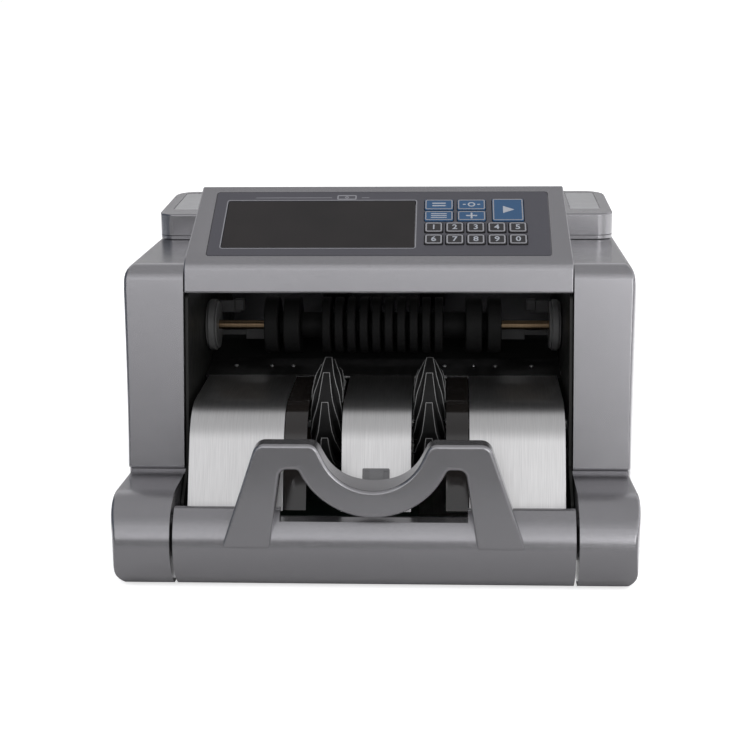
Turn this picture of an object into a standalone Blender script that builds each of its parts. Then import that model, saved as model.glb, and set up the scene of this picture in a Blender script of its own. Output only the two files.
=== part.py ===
"""Banknote counting machine: a desk-top counter with a sloping control panel, an open stacker
pocket behind an M-shaped note stopper, and a hopper on top.

Frame: X to the right, Y to the back, Z up. The origin is the centre of the footprint on the desk.
All sizes below are in millimetres and are turned into metres by the helpers.
"""

import math

import bmesh
import bpy
from mathutils import Matrix, Vector, geometry

MM = 0.001

# ---------------------------------------------------------------- driving dimensions
HALF_WIDTH = 135.3            # outermost bulge of the side panels
REAR_Y = 120.5
SKIRT_Z = 1.0                 # the covers end just above the desk
SIDE_TOP_Z = 151.7            # flat top of the side panels
GAP = 0.35                    # clearance between neighbouring pieces
WALL = 2.4                    # moulded wall thickness

MOUTH_HALF = 100.0            # half-width of the stacker opening
MOUTH_TOP_Z = 137.5           # lower lip of the control panel cover
MOUTH_TOP_Y = -52.9
FACE_FOOT_Y = -68.1           # front face where it meets the foot
FACE_FOOT_Z = 47.6
FOOT_TOP_Z = 46.0

NOSE_Y = -96.0                # axis of the rounded base front
NOSE_Z = 22.0
NOSE_R = 24.0
NOSE_LIP_Z = 41.2             # top of the centre base cover

PANEL_TILT = math.radians(28.0)
PANEL_Y = -45.5               # lower edge of the keypad overlay
PANEL_Z = 155.9
OVERLAY_HALF = 88.6
OVERLAY_LENGTH = 56.2
PANEL_BACK_Y = 11.5
THROAT_Z = 126.0              # the panel cover's back wall ends just above the transport drum

SCREEN = (-81.6, 18.3, 6.8, 48.0)          # display window: left, right, bottom, top on the panel
START_KEY = (59.1, 75.5, 29.3, 48.9)
FUNCTION_COLUMNS = ((23.4, 38.4), (40.7, 55.5))
FUNCTION_ROWS = {"upper": (39.2, 48.3), "lower": (29.5, 37.9)}
DIGIT_LEFT = 23.7
DIGIT_PITCH = 10.95
DIGIT_WIDTH = 9.2
DIGIT_ROWS = {"12345": (19.3, 27.7), "67890": (9.0, 17.2)}
KEY_THICKNESS = 2.2
KEY_PROUD = 0.7

FRAME_INNER = 98.0            # steel side frames
FRAME_OUTER = 99.5

IMPELLER = (-40.0, 66.0)      # shaft axes as (y, z)
TRANSPORT = (14.0, 107.5)
FEED = (42.0, 128.5)
MOTOR = (75.0, 40.0)
IMPELLER_R = 35.0
IMPELLER_X = 26.5
FIN_COUNT = 12
FIN_PHASE = math.radians(2.0)
FIN_THICKNESS = 1.8
SHAFT_R = 3.0
THIN_SHAFT_R = 2.5
PULLEY_X = 104.0
PULLEY_WIDTH = 7.0
PULLEY_R = {"impeller": 12.0, "transport": 10.0, "feed": 11.0, "motor": 8.0}
BELT_THICKNESS = 1.3
DRUM_R = 15.5
FEED_R = 16.0
FEED_X = 27.0

TRAY_FRONT = (17.6, 132.3)
TRAY_BACK = (110.0, 166.7)
TRAY_HALF = 93.6
TRAY_TILT = math.atan2(TRAY_BACK[1] - TRAY_FRONT[1], TRAY_BACK[0] - TRAY_FRONT[0])

HOPPER_OUTER = 127.8
HOPPER_INNER = 94.5
HOPPER_FRONT_Y = 36.0
HOPPER_BACK_Y = 107.0
HOPPER_Z = (152.0, 161.2)
SHELF_TOP_Z = 154.0           # the housing's thin shelves carry the two caps
CAP_Z = (154.3, 166.3)        # underside, and top at the front edge
CAP_RISE = 4.2                # the cap tops climb this much to the rear
KNOB = (0.0, 19.2)            # hopper gap knob, behind the panel

FOOT_R = 9.0
FOOT_HEIGHT = 4.2
PLATE_Z = 4.5
PLATE_BEND = 26.0             # radius of the stacker plate's bend
PLATE_HALF = 95.2


# ---------------------------------------------------------------- scene and helpers
for old in list(bpy.data.objects):
    bpy.data.objects.remove(old)


def collection(name):
    made = bpy.data.collections.new(name)
    bpy.context.scene.collection.children.link(made)
    return made


PARTS = collection("banknote_counter")
CUTTERS = collection("cutters")

# axes of an outline's own X, Y and thickness directions
PLANES = {
    "yz": Matrix(((0, 0, 1), (1, 0, 0), (0, 1, 0))).to_4x4(),
    "xz": Matrix(((1, 0, 0), (0, 0, -1), (0, 1, 0))).to_4x4(),
    "xy": Matrix.Identity(4),
}


def material(name, colour, roughness, metallic=0.0):
    made = bpy.data.materials.new(name)
    made.use_nodes = True
    shader = made.node_tree.nodes["Principled BSDF"]
    shader.inputs["Base Color"].default_value = (*colour, 1.0)
    shader.inputs["Roughness"].default_value = roughness
    shader.inputs["Metallic"].default_value = metallic
    made.diffuse_color = (*colour, 1.0)
    return made


SILVER = material("silver_paint", (0.31, 0.31, 0.33), 0.38, 0.55)
STEEL = material("brushed_steel", (0.62, 0.62, 0.63), 0.3, 1.0)
DARK_STEEL = material("dark_steel", (0.05, 0.05, 0.05), 0.45, 0.8)
BRASS = material("brass_shaft", (0.55, 0.40, 0.20), 0.3, 1.0)
BLACK = material("black_plastic", (0.012, 0.012, 0.012), 0.5)
RUBBER = material("black_rubber", (0.015, 0.015, 0.016), 0.75)
WHITE = material("white_plastic", (0.62, 0.62, 0.60), 0.45)
OVERLAY = material("grey_overlay", (0.10, 0.10, 0.125), 0.4)
KEY_BLUE = material("blue_key", (0.075, 0.13, 0.23), 0.4)
KEY_BLACK = material("black_key", (0.03, 0.03, 0.033), 0.4)
GLASS = material("smoked_window", (0.02, 0.018, 0.018), 0.08)
BOARD = material("circuit_board", (0.02, 0.12, 0.05), 0.5)
COPPER = material("coil_tape", (0.45, 0.33, 0.05), 0.5)


def settle(name, source, finish, group=PARTS, smooth=True):
    """Make a plain mesh object from an evaluated one, welded and with its faces pointing out."""
    bpy.context.view_layer.update()
    depsgraph = bpy.context.evaluated_depsgraph_get()
    mesh = bpy.data.meshes.new_from_object(source.evaluated_get(depsgraph))
    work = bmesh.new()
    work.from_mesh(mesh)
    bmesh.ops.remove_doubles(work, verts=work.verts, dist=0.00001)
    bmesh.ops.recalc_face_normals(work, faces=work.faces)
    work.to_mesh(mesh)
    work.free()
    mesh.name = name
    matrix = source.matrix_world.copy()
    bpy.data.objects.remove(source)
    made = bpy.data.objects.new(name, mesh)
    group.objects.link(made)
    made.matrix_world = matrix
    mesh.materials.clear()
    mesh.materials.append(finish)
    if smooth:
        mesh.shade_smooth()
        mesh.set_sharp_from_angle(angle=math.radians(35))
    return made


def rounded(corners, step=math.radians(15)):
    """Points of a closed outline whose corners (x, y, radius) are rounded with arcs."""
    points = []
    count = len(corners)
    for index, (x, y, radius) in enumerate(corners):
        here = Vector((x, y))
        if radius <= 0:
            points.append(here)
            continue
        before = (Vector(corners[index - 1][:2]) - here).normalized()
        after = (Vector(corners[(index + 1) % count][:2]) - here).normalized()
        opening = before.angle(after)
        turn = math.pi - opening
        reach = radius / math.tan(opening / 2)
        centre = here + (before + after).normalized() * (radius / math.sin(opening / 2))
        start = here + before * reach - centre
        side = 1 if before.x * after.y - before.y * after.x < 0 else -1
        pieces = max(1, math.ceil(turn / step))
        for piece in range(pieces + 1):
            angle = side * turn * piece / pieces
            cos, sin = math.cos(angle), math.sin(angle)
            points.append(centre + Vector((start.x * cos - start.y * sin,
                                           start.x * sin + start.y * cos)))
    return points


def arc(centre, radius, start, end, pieces):
    """Points on an arc; angles in degrees, 0 towards +first axis, counter-clockwise."""
    points = []
    for piece in range(pieces + 1):
        angle = math.radians(start + (end - start) * piece / pieces)
        points.append(Vector((centre[0] + radius * math.cos(angle),
                              centre[1] + radius * math.sin(angle))))
    return points


def circle(centre, radius, pieces=24):
    return arc(centre, radius, 0, 360 - 360 / pieces, pieces - 1)


def rectangle(left, right, bottom, top, radius=0.0):
    corners = ((left, bottom), (right, bottom), (right, top), (left, top))
    return rounded([(x, y, radius) for x, y in corners], math.radians(30))


def prism(name, outlines, low, high, finish=SILVER, plane="yz", group=PARTS, matrix=None):
    """Solid between two levels of a flat outline; further outlines are holes through it."""
    curve = bpy.data.curves.new(name, "CURVE")
    curve.dimensions = "2D"
    curve.fill_mode = "BOTH"
    curve.extrude = (high - low) / 2 * MM
    for outline in outlines:
        spline = curve.splines.new("POLY")
        spline.points.add(len(outline) - 1)
        for point, place in zip(spline.points, outline):
            point.co = (place[0] * MM, place[1] * MM, 0, 1)
        spline.use_cyclic_u = True
    source = bpy.data.objects.new(name + "_outline", curve)
    group.objects.link(source)
    middle = (low + high) / 2
    if plane == "xz":
        middle = -middle
    level = Matrix.Translation((0, 0, middle * MM))
    source.matrix_world = (matrix or Matrix.Identity(4)) @ PLANES[plane] @ level
    return settle(name, source, finish, group)


def box(name, x, y, z, finish=SILVER, group=PARTS, bevel=0.0):
    """Box between (low, high) pairs, with its edges rounded if asked."""
    work = bmesh.new()
    bmesh.ops.create_cube(work, size=1.0)
    size = [(pair[1] - pair[0]) * MM for pair in (x, y, z)]
    centre = [(pair[1] + pair[0]) / 2 * MM for pair in (x, y, z)]
    bmesh.ops.scale(work, vec=size, verts=work.verts)
    mesh = bpy.data.meshes.new(name)
    work.to_mesh(mesh)
    work.free()
    made = bpy.data.objects.new(name, mesh)
    group.objects.link(made)
    made.location = centre
    mesh.materials.append(finish)
    if bevel:
        rounding = made.modifiers.new("rounding", "BEVEL")
        rounding.width = bevel * MM
        rounding.segments = 2
    return made


def turned(name, profile, centre, finish=STEEL, steps=24, plane="yz"):
    """Solid of revolution about an axis along X, or along Z in plane xy.

    The profile is (distance along the axis, radius); centre is the axis' place in the plane.
    """
    loop = [Vector((radius * MM, 0, x * MM)) for x, radius in profile]
    closed = profile[0][1] > 0
    mesh = bpy.data.meshes.new(name)
    work = bmesh.new()
    dots = [work.verts.new(point) for point in loop]
    for first, second in zip(dots, dots[1:]):
        work.edges.new((first, second))
    if closed:
        work.edges.new((dots[-1], dots[0]))
    work.to_mesh(mesh)
    work.free()
    source = bpy.data.objects.new(name + "_profile", mesh)
    PARTS.objects.link(source)
    screw = source.modifiers.new("turn", "SCREW")
    screw.steps = steps
    screw.render_steps = steps
    screw.use_merge_vertices = True
    screw.merge_threshold = 0.00001
    source.matrix_world = PLANES[plane] @ Matrix.Translation((centre[0] * MM, centre[1] * MM, 0))
    return settle(name, source, finish)


def sleeve(bore, rings):
    """Closed profile of a bored roller: rings are (x from, x to, radius) along its length."""
    outside = []
    for low, high, radius in rings:
        outside += [(low, radius), (high, radius)]
    return [(rings[0][0], bore), *outside, (rings[-1][1], bore)]


def combine(target, tool, operation):
    """Join, cut or trim the target with a tool that stays out of the model."""
    for user in list(tool.users_collection):
        user.objects.unlink(tool)
    CUTTERS.objects.link(tool)
    tool.display_type = "WIRE"
    tool.hide_render = True
    step = target.modifiers.new(operation.lower(), "BOOLEAN")
    step.operation = operation
    step.solver = "EXACT"
    step.object = tool
    return target


def axis_here(piece, x, y, z):
    """Move a piece's origin to a point on its joint axis without moving the piece."""
    bpy.context.view_layer.update()
    place = Vector((x * MM, y * MM, z * MM))
    piece.data.transform(Matrix.Translation(-place) @ piece.matrix_world)
    piece.matrix_world = Matrix.Translation(place)


# ---------------------------------------------------------------- shared outlines
FACE_LEAN = (MOUTH_TOP_Y - FACE_FOOT_Y) / (MOUTH_TOP_Z - FACE_FOOT_Z)


def face_y(z, inset=0.0):
    """Depth of the leaning front face at a height."""
    return FACE_FOOT_Y + (z - FACE_FOOT_Z) * FACE_LEAN + inset


def nose(radius, bottom_z, top_z, pieces=14):
    """Arc of the rounded base from its lower edge over the foremost line to its upper edge."""
    low = 180 + math.degrees(math.asin((NOSE_Z - bottom_z) / radius))
    high = 180 - math.degrees(math.asin((top_z - NOSE_Z) / radius))
    return arc((NOSE_Y, NOSE_Z), radius, low, high, pieces)


# ---------------------------------------------------------------- chassis
def base_and_frames():
    floor = [(-88, 12, 0), (-88, PLATE_Z, 0), (113, PLATE_Z, 0), (113, 12, 0),
             (111.5, 12, 0), (111.5, PLATE_Z + 1.5, 0), (-86.5, PLATE_Z + 1.5, 0), (-86.5, 12, 0)]
    prism("base_plate", [rounded(floor)], -97, 97, STEEL)
    edge = [(-85, 6.4, 0), (113, 6.4, 0), (113, 150.9, 4), (12.5, 150.9, 4), (12.5, 136.4, 0),
            (face_y(136.4, 3.0), 136.4, 4), (face_y(50, 3.0), 50, 0), (-85, 36, 3)]
    holes = [circle(IMPELLER, SHAFT_R + GAP), circle(TRANSPORT, THIN_SHAFT_R + GAP),
             circle(FEED, SHAFT_R + GAP)]
    prism("left_frame_plate", [rounded(edge), *holes], -FRAME_OUTER, -FRAME_INNER, DARK_STEEL)
    holes.append(circle(MOTOR, THIN_SHAFT_R + GAP))
    prism("right_frame_plate", [rounded(edge), *holes], FRAME_INNER, FRAME_OUTER, DARK_STEEL)
    for name, x, y in (("front_left_foot", -80, -70), ("front_right_foot", 80, -70),
                       ("rear_left_foot", -80, 95), ("rear_right_foot", 80, 95)):
        prism(name, [circle((x, y), FOOT_R)], 0, FOOT_HEIGHT, RUBBER, "xy")


def side_panel(name, side):
    """Hollow moulded side with its bulging outer face, open towards the machine's middle."""
    outer = nose(NOSE_R, SKIRT_Z, FOOT_TOP_Z - 0.001)
    outer += rounded([(-65.8, FOOT_TOP_Z, 0), (-65.8, FACE_FOOT_Z, 0),
                      (face_y(FACE_FOOT_Z), FACE_FOOT_Z, 1.2), (face_y(SIDE_TOP_Z), SIDE_TOP_Z, 9),
                      (REAR_Y, SIDE_TOP_Z, 9), (REAR_Y, SKIRT_Z, 0)])
    inner = nose(NOSE_R - WALL, SKIRT_Z + WALL, FOOT_TOP_Z - WALL - 0.001)
    inner += rounded([(-63.3, FOOT_TOP_Z - WALL, 0), (face_y(52, 2.5), 52, 0),
                      (face_y(149.2, 2.5), SIDE_TOP_Z - WALL, 6), (REAR_Y - WALL, SIDE_TOP_Z - WALL, 6),
                      (REAR_Y - WALL, SKIRT_Z + WALL, 0)])
    plan = [(99, -125), (126.5, -125), (128.2, -119), (129.8, -112), (130.4, -100), (129.4, -66),
            (130.0, -58), (131.5, -48), (133.0, -38), (134.2, -22), (135.0, 0), (HALF_WIDTH, 30),
            (134.9, 65), (133.2, 95), (131.0, 112), (127.5, 125), (99, 125)]
    front = [(99, -5), (123.5, -5), (126.6, 1), (130.0, 8), (132.4, 18), (134.2, 40), (HALF_WIDTH, 70),
             (HALF_WIDTH, 100), (134.8, 125), (133.4, 139), (131.6, 145), (129.8, 149), (127.2, 152),
             (122, 156), (99, 156)]
    shrink = WALL + 0.3

    def sided(points, inset):
        return [((x - inset if x > 100 else x) * side, y) for x, y in points]

    low, high = sorted((MOUTH_HALF * side, 140 * side))
    panel = prism(name, [outer], low, high)
    combine(panel, prism(name + "_plan", [sided(plan, 0)], -5, 160, plane="xy"), "INTERSECT")
    combine(panel, prism(name + "_front", [sided(front, 0)], -130, 130, plane="xz"), "INTERSECT")
    low, high = sorted(((MOUTH_HALF + 2.2) * side, 141 * side))
    hollow = prism(name + "_hollow", [inner], low, high)
    combine(hollow, prism(name + "_plan_in", [sided(plan, shrink)], -6, 161, plane="xy"), "INTERSECT")
    combine(hollow, prism(name + "_front_in", [sided(front, shrink)], -131, 131, plane="xz"), "INTERSECT")
    combine(panel, hollow, "DIFFERENCE")
    window = rectangle(-44, 112, 10, 135, 6)
    low, high = sorted(((MOUTH_HALF - 1) * side, (MOUTH_HALF + 4) * side))
    combine(panel, prism(name + "_window", [window], low, high), "DIFFERENCE")
    return panel


def front_base_cover():
    """Rounded centre of the base front, with a note ledge behind its lip."""
    outer = nose(NOSE_R, SKIRT_Z, NOSE_LIP_Z, 14)
    outer += [Vector(p) for p in ((-107.9, NOSE_LIP_Z), (-107.9, 31.5), (-92.8, 31.5), (-92.8, SKIRT_Z))]
    cover = prism("front_base_cover", [outer], -98.4, 98.4)
    hollow = nose(NOSE_R - WALL, SKIRT_Z + WALL, 29, 12)
    hollow += [Vector(p) for p in ((-85, 29), (-85, SKIRT_Z + WALL))]
    combine(cover, prism("base_cover_hollow", [hollow], -96, 96), "DIFFERENCE")
    recess = box("finger_recess", (-46, 46), (-125, -100), (36, 50))
    combine(cover, recess, "DIFFERENCE")
    for side in (-1, 1):
        slot = [(74.4 + GAP, 23.3 - GAP), (66.0 + GAP, 48), (47.0 - GAP, 48), (50.6 - GAP, 23.3 - GAP)]
        outline = [(x * side, z) for x, z in slot]
        combine(cover, prism("stopper_slot", [outline], -125, -110.0, plane="xz"), "DIFFERENCE")


def note_stopper():
    """M-shaped stopper: two splayed legs, two humps and a deep thumb valley."""
    half = [(74.4, 23.3, 1.5), (56.4, 76.4, 6), (27.7, 76.4, 6)]
    top = half + [(0, 19.6, 26)] + [(-x, z, r) for x, z, r in reversed(half)]
    arch = [(-50.6, 23.3, 1.0), (-44.7, 63.6, 4), (-36.1, 63.6, 2.6)]
    under = arch + [(0, -10.5, 39)] + [(-x, z, r) for x, z, r in reversed(arch)]
    stopper = prism("note_stopper", [rounded(top + under, math.radians(10))], -120.5, -99, plane="xz")
    depth = [(80, -121.5), (80, -110.5), (36, -110.5)]
    depth += [(x, -110.5 + 5 * (1 + math.cos(math.pi * x / 36))) for x in (27, 18, 9, 0, -9, -18, -27)]
    depth += [(-36, -110.5), (-80, -110.5), (-80, -121.5)]
    combine(stopper, prism("stopper_depth", [depth], 15, 85, plane="xy"), "INTERSECT")


# ---------------------------------------------------------------- control panel
def panel_matrix():
    return Matrix.Translation((0, PANEL_Y * MM, PANEL_Z * MM)) @ Matrix.Rotation(PANEL_TILT, 4, "X")


PANEL_FRAME = bpy.data.objects.new("panel_frame", None)
PARTS.objects.link(PANEL_FRAME)
PANEL_FRAME.matrix_world = panel_matrix()


def on_panel(name, outlines, low, high, finish, group=PARTS):
    """Prism on the sloping panel: outlines as (across, up the slope), heights along its normal."""
    return prism(name, outlines, low, high, finish, "xy", group, panel_matrix())


def slope_z(y, drop=0.0):
    return PANEL_Z + (y - PANEL_Y) * math.tan(PANEL_TILT) - drop / math.cos(PANEL_TILT)


def key_places():
    """Every key of the panel as name: (left, right, bottom, top)."""
    places = {"start_key": START_KEY}
    for row, (bottom, top) in FUNCTION_ROWS.items():
        for column, (left, right) in zip(("left", "right"), FUNCTION_COLUMNS):
            places[f"{row}_{column}_function_key"] = (left, right, bottom, top)
    for digits, (bottom, top) in DIGIT_ROWS.items():
        for index, digit in enumerate(digits):
            left = DIGIT_LEFT + index * DIGIT_PITCH
            places[f"digit_key_{digit}"] = (left, left + DIGIT_WIDTH, bottom, top)
    return places


def tapered(cover):
    """Narrow a cover towards the top by its moulding draft."""
    for point in cover.data.vertices:
        height = (cover.matrix_world @ point.co).z / MM
        if height > 152:
            point.co.z *= 1 - 0.024 * (height - 152) / 33
    return cover


def control_panel_cover():
    meet_z = 153.4
    outer = [(MOUTH_TOP_Y, MOUTH_TOP_Z, 0.6), (face_y(meet_z), meet_z, 9),
             (PANEL_BACK_Y, slope_z(PANEL_BACK_Y), 2.2), (PANEL_BACK_Y, 138.5, 0)]
    inner = [(MOUTH_TOP_Y + 2.6, 130, 0), (face_y(meet_z, 2.6), meet_z - 2.2, 7),
             (PANEL_BACK_Y - WALL, slope_z(PANEL_BACK_Y - WALL, 2.8), 0), (PANEL_BACK_Y - WALL, 130, 0)]
    cover = tapered(prism("control_panel_cover", [rounded(outer)], -99.7, 99.7))
    hollow = tapered(prism("panel_hollow", [rounded(inner)], -97.3, 97.3))
    combine(cover, hollow, "DIFFERENCE")
    shelf = prism("knob_shelf", [rectangle(-9, 9, PANEL_BACK_Y - 1.5, 27, 3)], 160.5, 164, plane="xy")
    combine(cover, shelf, "UNION")
    lip = rectangle(-96.5, 96.5, PANEL_BACK_Y - WALL + 0.2, PANEL_BACK_Y - 0.2)
    combine(cover, prism("throat_lip", [lip], THROAT_Z, 141, plane="xy"), "UNION")
    rim = rectangle(-OVERLAY_HALF - GAP, OVERLAY_HALF + GAP, -GAP, OVERLAY_LENGTH + GAP, 2.0)
    combine(cover, on_panel("overlay_recess", [rim], -1.1, 6, SILVER), "DIFFERENCE")
    for name, opening in (("screen_opening", rectangle(-80, 17, 8.5, 46.5)),
                          ("keypad_opening", rectangle(22, 78, 7.5, 50))):
        combine(cover, on_panel(name, [opening], -8, 4, SILVER), "DIFFERENCE")


def panel_pieces():
    holes = []
    for left, right, bottom, top in key_places().values():
        holes.append(rectangle(left - GAP, right + GAP, bottom - GAP, top + GAP, 0.9))
    left, right, bottom, top = SCREEN
    holes.append(rectangle(left - GAP, right + GAP, bottom - GAP, top + GAP, 1.2))
    rim = rectangle(-OVERLAY_HALF, OVERLAY_HALF, 0, OVERLAY_LENGTH, 1.8)
    on_panel("panel_overlay", [rim, *holes], -0.75, 0.1, OVERLAY)
    on_panel("display_window", [rectangle(*SCREEN, 0.9)], -0.75, 0.05, GLASS)
    on_panel("display_board", [rectangle(-84, 82, 6, 52, 1)], -9.2, -7.6, BOARD)
    for name, (left, right, bottom, top) in key_places().items():
        finish = KEY_BLACK if name.startswith("digit") else KEY_BLUE
        high = KEY_PROUD + 0.1
        key = on_panel(name, [rectangle(left, right, bottom, top, 0.7)], high - KEY_THICKNESS, high, finish)
        matrix = key.matrix_world.copy()
        key.parent = PANEL_FRAME
        key.matrix_world = matrix


# ---------------------------------------------------------------- hopper
def hopper():
    front, back = HOPPER_FRONT_Y, HOPPER_BACK_Y
    notch_y = PANEL_BACK_Y + 0.4
    outer = [(99.6, notch_y), (99.6, 117.0), (-99.6, 117.0), (-99.6, notch_y)]
    inner = [(-HOPPER_INNER, notch_y), (-HOPPER_INNER, 112.3), (HOPPER_INNER, 112.3), (HOPPER_INNER, notch_y)]
    housing = prism("hopper_housing", [outer + inner], *HOPPER_Z, plane="xy")
    roof = [(front, CAP_Z[1]), (back, CAP_Z[1] + CAP_RISE), (back + 1, CAP_Z[0] - 1), (front - 1, CAP_Z[0] - 1)]
    for name, side in (("left_hopper_cap", -1), ("right_hopper_cap", 1)):
        shelf = [(97.0, front, 0), (HOPPER_OUTER, front, 9), (HOPPER_OUTER, back, 12), (97.0, back, 0)]
        shelf = rounded([(x * side, y, r) for x, y, r in shelf])
        combine(housing, prism("cap_shelf", [shelf], HOPPER_Z[0], SHELF_TOP_Z, plane="xy"), "UNION")
        plan = [(100.0, front, 1), (HOPPER_OUTER, front, 9), (HOPPER_OUTER, back, 12), (100.0, back, 1)]
        plan = rounded([(x * side, y, r) for x, y, r in plan])
        cap = prism(name, [plan], CAP_Z[0], CAP_Z[1] + 8, plane="xy")
        combine(cap, prism("cap_roof", [roof], -140, 140), "INTERSECT")
        crown = cap.modifiers.new("crown", "BEVEL")
        crown.width = 2.0 * MM
        crown.segments = 2
        crown.limit_method = "ANGLE"
        crown.angle_limit = math.radians(60)
        across = sorted((103 * side, (HOPPER_OUTER - 3) * side))
        pocket = rectangle(*across, front + 3, back - 3, 6)
        hollow = prism(name + "_pocket", [pocket], CAP_Z[0] - 1, CAP_Z[1] - 3, plane="xy")
        combine(cap, hollow, "DIFFERENCE")
    slope = [TRAY_FRONT, TRAY_BACK, (TRAY_BACK[0] - 0.8, TRAY_BACK[1] + 2.1),
             (TRAY_FRONT[0] - 0.8, TRAY_FRONT[1] + 2.1)]
    tray = prism("hopper_tray", [slope], -TRAY_HALF, TRAY_HALF, BLACK)
    for side in (-1, 1):
        x = (side * FEED_X - 8.2, side * FEED_X + 8.2)
        combine(tray, box("feed_slot", x, (25, 51), (125, 165)), "DIFFERENCE")
    tray_top = Matrix.Translation((0, TRAY_FRONT[0] * MM, (TRAY_FRONT[1] + 2.25) * MM))
    tray_top = tray_top @ Matrix.Rotation(TRAY_TILT, 4, "X")
    for name, side in (("left_note_guide", -1), ("right_note_guide", 1)):
        section = [(72, 0.4), (86, 0.4), (86, 12.4), (84.2, 12.4), (84.2, 2.0), (72, 2.0)]
        outline = [(x * side, z) for x, z in section]
        prism(name, [outline], 16, 78, BLACK, "xz", matrix=tray_top)
    knob = [(164.35, 0), (164.35, 6), (172.0, 5.6), (172.8, 4.8), (172.8, 0)]
    axis_here(turned("gap_knob", knob, KNOB, BLACK, 20, "xy"), *KNOB, 164.35)


# ---------------------------------------------------------------- stacker
def stacker():
    crown = [(-92.0, 33.5), (-71.6, 82.0), (-5.0, 83.3)]

    def sheet(thickness, start_z):
        start_y = crown[0][0] + (start_z - crown[0][1]) * 20.4 / 48.5
        top = [(start_y, start_z, 0), (*crown[1], PLATE_BEND), (*crown[2], 0)]
        under = [(crown[2][0], crown[2][1] - thickness, 0),
                 (crown[1][0] + thickness * 0.6, crown[1][1] - thickness, PLATE_BEND - thickness),
                 (start_y + thickness * 1.08, start_z, 0)]
        return rounded(top + under, math.radians(8))

    plate = prism("stacker_plate", [sheet(1.2, crown[0][1])], -PLATE_HALF, PLATE_HALF, STEEL)
    for side in (-1, 1):
        x = sorted((17.6 * side, 46.9 * side))
        combine(plate, box("impeller_slot", x, (-100, -8.2), (30, 100)), "DIFFERENCE")
    for name, side in (("left_sensor_strip", -1), ("right_sensor_strip", 1)):
        low, high = sorted((35.2 * side, 46.5 * side))
        strip = prism(name, [sheet(1.6, 34.0)], low, high, GLASS)
        combine(strip, box("strip_end", (low - 1, high + 1), (-8.2 - GAP, 0), (70, 100)), "DIFFERENCE")
    guide = [(-4.3, 82.6, 0), (22, 86.6, 6), (36, 94.5, 6), (41, 104, 0),
             (42.4, 103.2, 0), (37.2, 93.2, 6), (22.4, 85.0, 6), (-4.3, 80.9, 0)]
    prism("guide_plate", [rounded(guide)], -97.4, 97.4, BLACK)


# ---------------------------------------------------------------- rotating pieces
def pulley(x, radius, bore, width=PULLEY_WIDTH):
    flange = radius + 1.6
    far = x + width
    return sleeve(bore, [(x - 0.9, x, flange), (x, far, radius), (far, far + 0.9, flange)])


def shaft_with_pulley(name, centre, radius, left, pulley_radius, finish):
    """Shaft across the frames whose right end carries its belt pulley."""
    flange = pulley_radius + 1.6
    low, high = PULLEY_X, PULLEY_X + PULLEY_WIDTH
    profile = [(left, 0), (left, radius), (low - 0.9, radius), (low - 0.9, flange), (low, flange),
               (low, pulley_radius), (high, pulley_radius), (high, flange), (high + 0.9, flange),
               (high + 0.9, radius), (high + 3, radius), (high + 3, 0)]
    shaft = turned(name, profile, centre, finish)
    axis_here(shaft, 0, *centre)


def impeller(name, x):
    """Finger wheel: rubber fins that spiral out of a hub and narrow to points."""
    sweep = [(11, 1.90), (16.5, 1.48), (22, 1.12), (27.5, 0.78), (31.2, 0.47), (33.6, 0.20), (IMPELLER_R, 0.0)]
    back = [(radius - FIN_THICKNESS, angle) for radius, angle in reversed(sweep[1:-1])] + [(11, 1.76)]
    outline = []
    for fin in range(FIN_COUNT):
        base = math.pi - FIN_PHASE - fin * 2 * math.pi / FIN_COUNT
        for radius, angle in sweep + back:
            turn = base + angle
            outline.append(Vector((IMPELLER[0] + radius * math.cos(turn),
                                   IMPELLER[1] + radius * math.sin(turn))))
    wheel = prism(name, [outline, circle(IMPELLER, SHAFT_R + GAP, 16)], x - 8.2, x + 8.2, RUBBER)
    rim = [(9, 0), (9, 20), (6.6, 27.5), (3.6, 31.5), (1.5, 35.5), (1.2, 37)]
    profile = [(x - half, radius) for half, radius in rim]
    profile += [(x + half, radius) for half, radius in reversed(rim)]
    combine(wheel, turned(name + "_taper", profile, IMPELLER, RUBBER, 24), "INTERSECT")
    return wheel


def transport_roller():
    """Rubber roller sleeve with two drums at each end and ten ribs in the middle."""
    core = 7.0
    rings = [(-65, -57.5), (-54.5, -45.5)]
    rings += [(-33.2 + 6.85 * rib, -33.2 + 6.85 * rib + 4.6) for rib in range(10)]
    rings += [(45.5, 54.5), (57.5, 65)]
    steps = []
    for index, (low, high) in enumerate(rings):
        steps.append((low, high, DRUM_R))
        if index + 1 < len(rings):
            steps.append((high, rings[index + 1][0], core))
    return turned("transport_roller", sleeve(THIN_SHAFT_R + GAP, steps), TRANSPORT, RUBBER, 18)


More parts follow.
